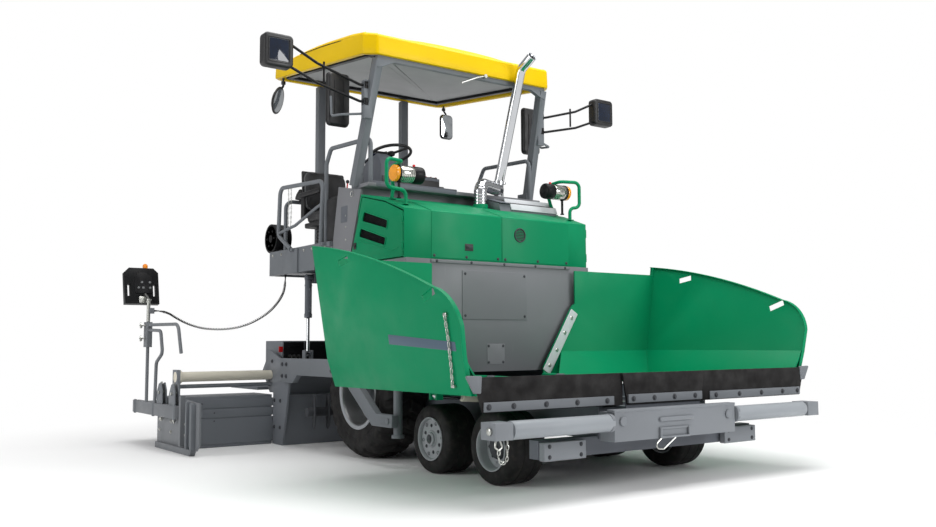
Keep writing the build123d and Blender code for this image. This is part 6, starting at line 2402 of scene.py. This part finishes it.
@dataclass
class ScreedTrim(Fitting):
    """Covers, fittings and bolts of the main screed and of the tow arms.

    Attributes:
        covers: Lowest and highest x of each box cover.
        couplings: x of the hydraulic couplings.
    """

    rides = "screed_unit"
    covers: tuple[Pair, ...] = (
        (-0.850, -0.655), (-0.640, -0.235), (-0.220, 0.220), (0.235, 0.640), (0.655, 0.850),
    )
    couplings: tuple[float, ...] = (-0.800, -0.760, -0.720, 0.720, 0.760, 0.800)

    def boxes(self) -> Surface:
        """Covers on the boxes' front, with the gaps between, and their handles."""
        made = []
        for low, high in self.covers:
            middle = (low + high) / 2
            made.append(brick((low, high), (1.334, 1.345), (0.680, 0.890), 0.004))
            made.append(brick((middle - 0.05, middle + 0.05), (1.322, 1.336), (0.845, 0.858)))
        return together(*made)

    def hoses(self) -> Surface:
        """Rows of hydraulic couplings with hoses that drop behind the side plates."""
        made = []
        for x in self.couplings:
            made.append(rods((x, 1.345, 0.765), (x, 1.300, 0.765), 0.012, 12))
            line = [(x, 1.302, 0.765), (x, 1.270, 0.760), (x, 1.262, 0.700)]
            line = bent([*line, (x * 0.98, 1.275, 0.640)], 0.02, 5)
            made.append(carried(line, ring(0.0085, 10), ALONG_X).wearing(1))
        return together(*made)

    def bolts(self) -> Surface:
        """Bolts of the side plates and of the tow arms' clamp pads, on both sides."""
        cheek = [(1.110, 0.690), (1.110, 0.600), (1.240, 0.380), (1.240, 0.150), (1.360, 0.380)]
        cheek += [(1.360, 0.150), (1.420, 0.720)]
        arm = [(0.20, 0.70), (0.20, 0.66), (1.02, 0.70), (1.02, 0.60), (1.10, 0.70), (1.10, 0.60)]
        return together(
            bolts(seated(cheek, 0.9205, Axis.X), LEFT, 0.012),
            bolts(seated(arm, 0.9705, Axis.X), LEFT, 0.013),
        ).on_both()

    def build(self) -> None:
        """Builds what the screed and the tow arms carry."""
        self.add("screed_box_covers", self.boxes(), BLACK)
        self.add("screed_couplings", self.hoses(), ZINC, RUBBER)
        self.add("screed_bolts", self.bolts(), IRON)
        self.add(
            "screed_mark", brick((-0.8995, -0.860), (1.328, 1.335), (0.800, 0.850), 0.002), RED,
        )


@dataclass
class CylinderTrim(Fitting):
    """Gland, end cap and hose ports of a screed lift cylinder.

    Attributes:
        at: x and y of its axis, and z of the barrel's foot.
    """

    rides = "{side}_lift_cylinder_barrel"
    at: Point = (0.800, 0.960, 1.095)

    def build(self) -> None:
        """Builds the rings and ports on the barrel."""
        x, y, z = self.at
        made = []
        for radius, height, foot in ((0.0335, 0.036, 0.001), (0.0325, 0.018, 0.270)):
            collar = [(0.0290, 0.0), (radius, 0.002), (radius, height - 0.002), (0.0290, height)]
            made.append(lathe(collar, Axis.Z, (x, y, z + foot), 32, loop=True))
        for up in (0.055, 0.245):
            made.append(rods((x, y - 0.026, z + up), (x, y - 0.046, z + up), 0.010, 14))
        pipe = [(x, y - 0.040, z + 0.055), (x, y - 0.040, z + 0.245)]
        made.append(carried(pipe, ring(0.005, 10), ALONG_X))
        self.add("lift_fittings", together(*made), DARK_GREY)


def fittings() -> list[Fitting]:
    """Every sub-assembly, in the order in which it is built."""
    made: list[Fitting] = [
        Canopy(), HoodPanels(), BodyWall(), CentreApron(), PushBeamFittings(),
        ExhaustTrim(), Mirrors(), Station(), ScreedTrim(),
    ]
    sided = (
        DriveWheel, HoodDoorTrim, HopperWing, WorkLight, TrafficSign, Seat, RemoteControl,
        ScreedEnd, CylinderTrim,
    )
    for side in SIDES:
        made.append(BogieWheel(*side, "front", WheelKind.DRIVEN, (0.748, -1.717, 0.230)))
        made.append(BogieWheel(*side, "rear", WheelKind.PLAIN, (0.748, -1.043, 0.230)))
        made += [kind(*side) for kind in sided]
    return made


# ------------------------------------------------------------------ making
def main() -> None:
    """Builds the studio, the cable, the CAD nodes' looks and every fitting, in order."""
    logging.basicConfig(level=logging.INFO, format="%(name)s %(message)s")
    Studio().build()
    RemoteCable().build()
    CadDressing().build()
    for fitting in fittings():
        fitting.build()


if __name__ == "__main__":
    main()
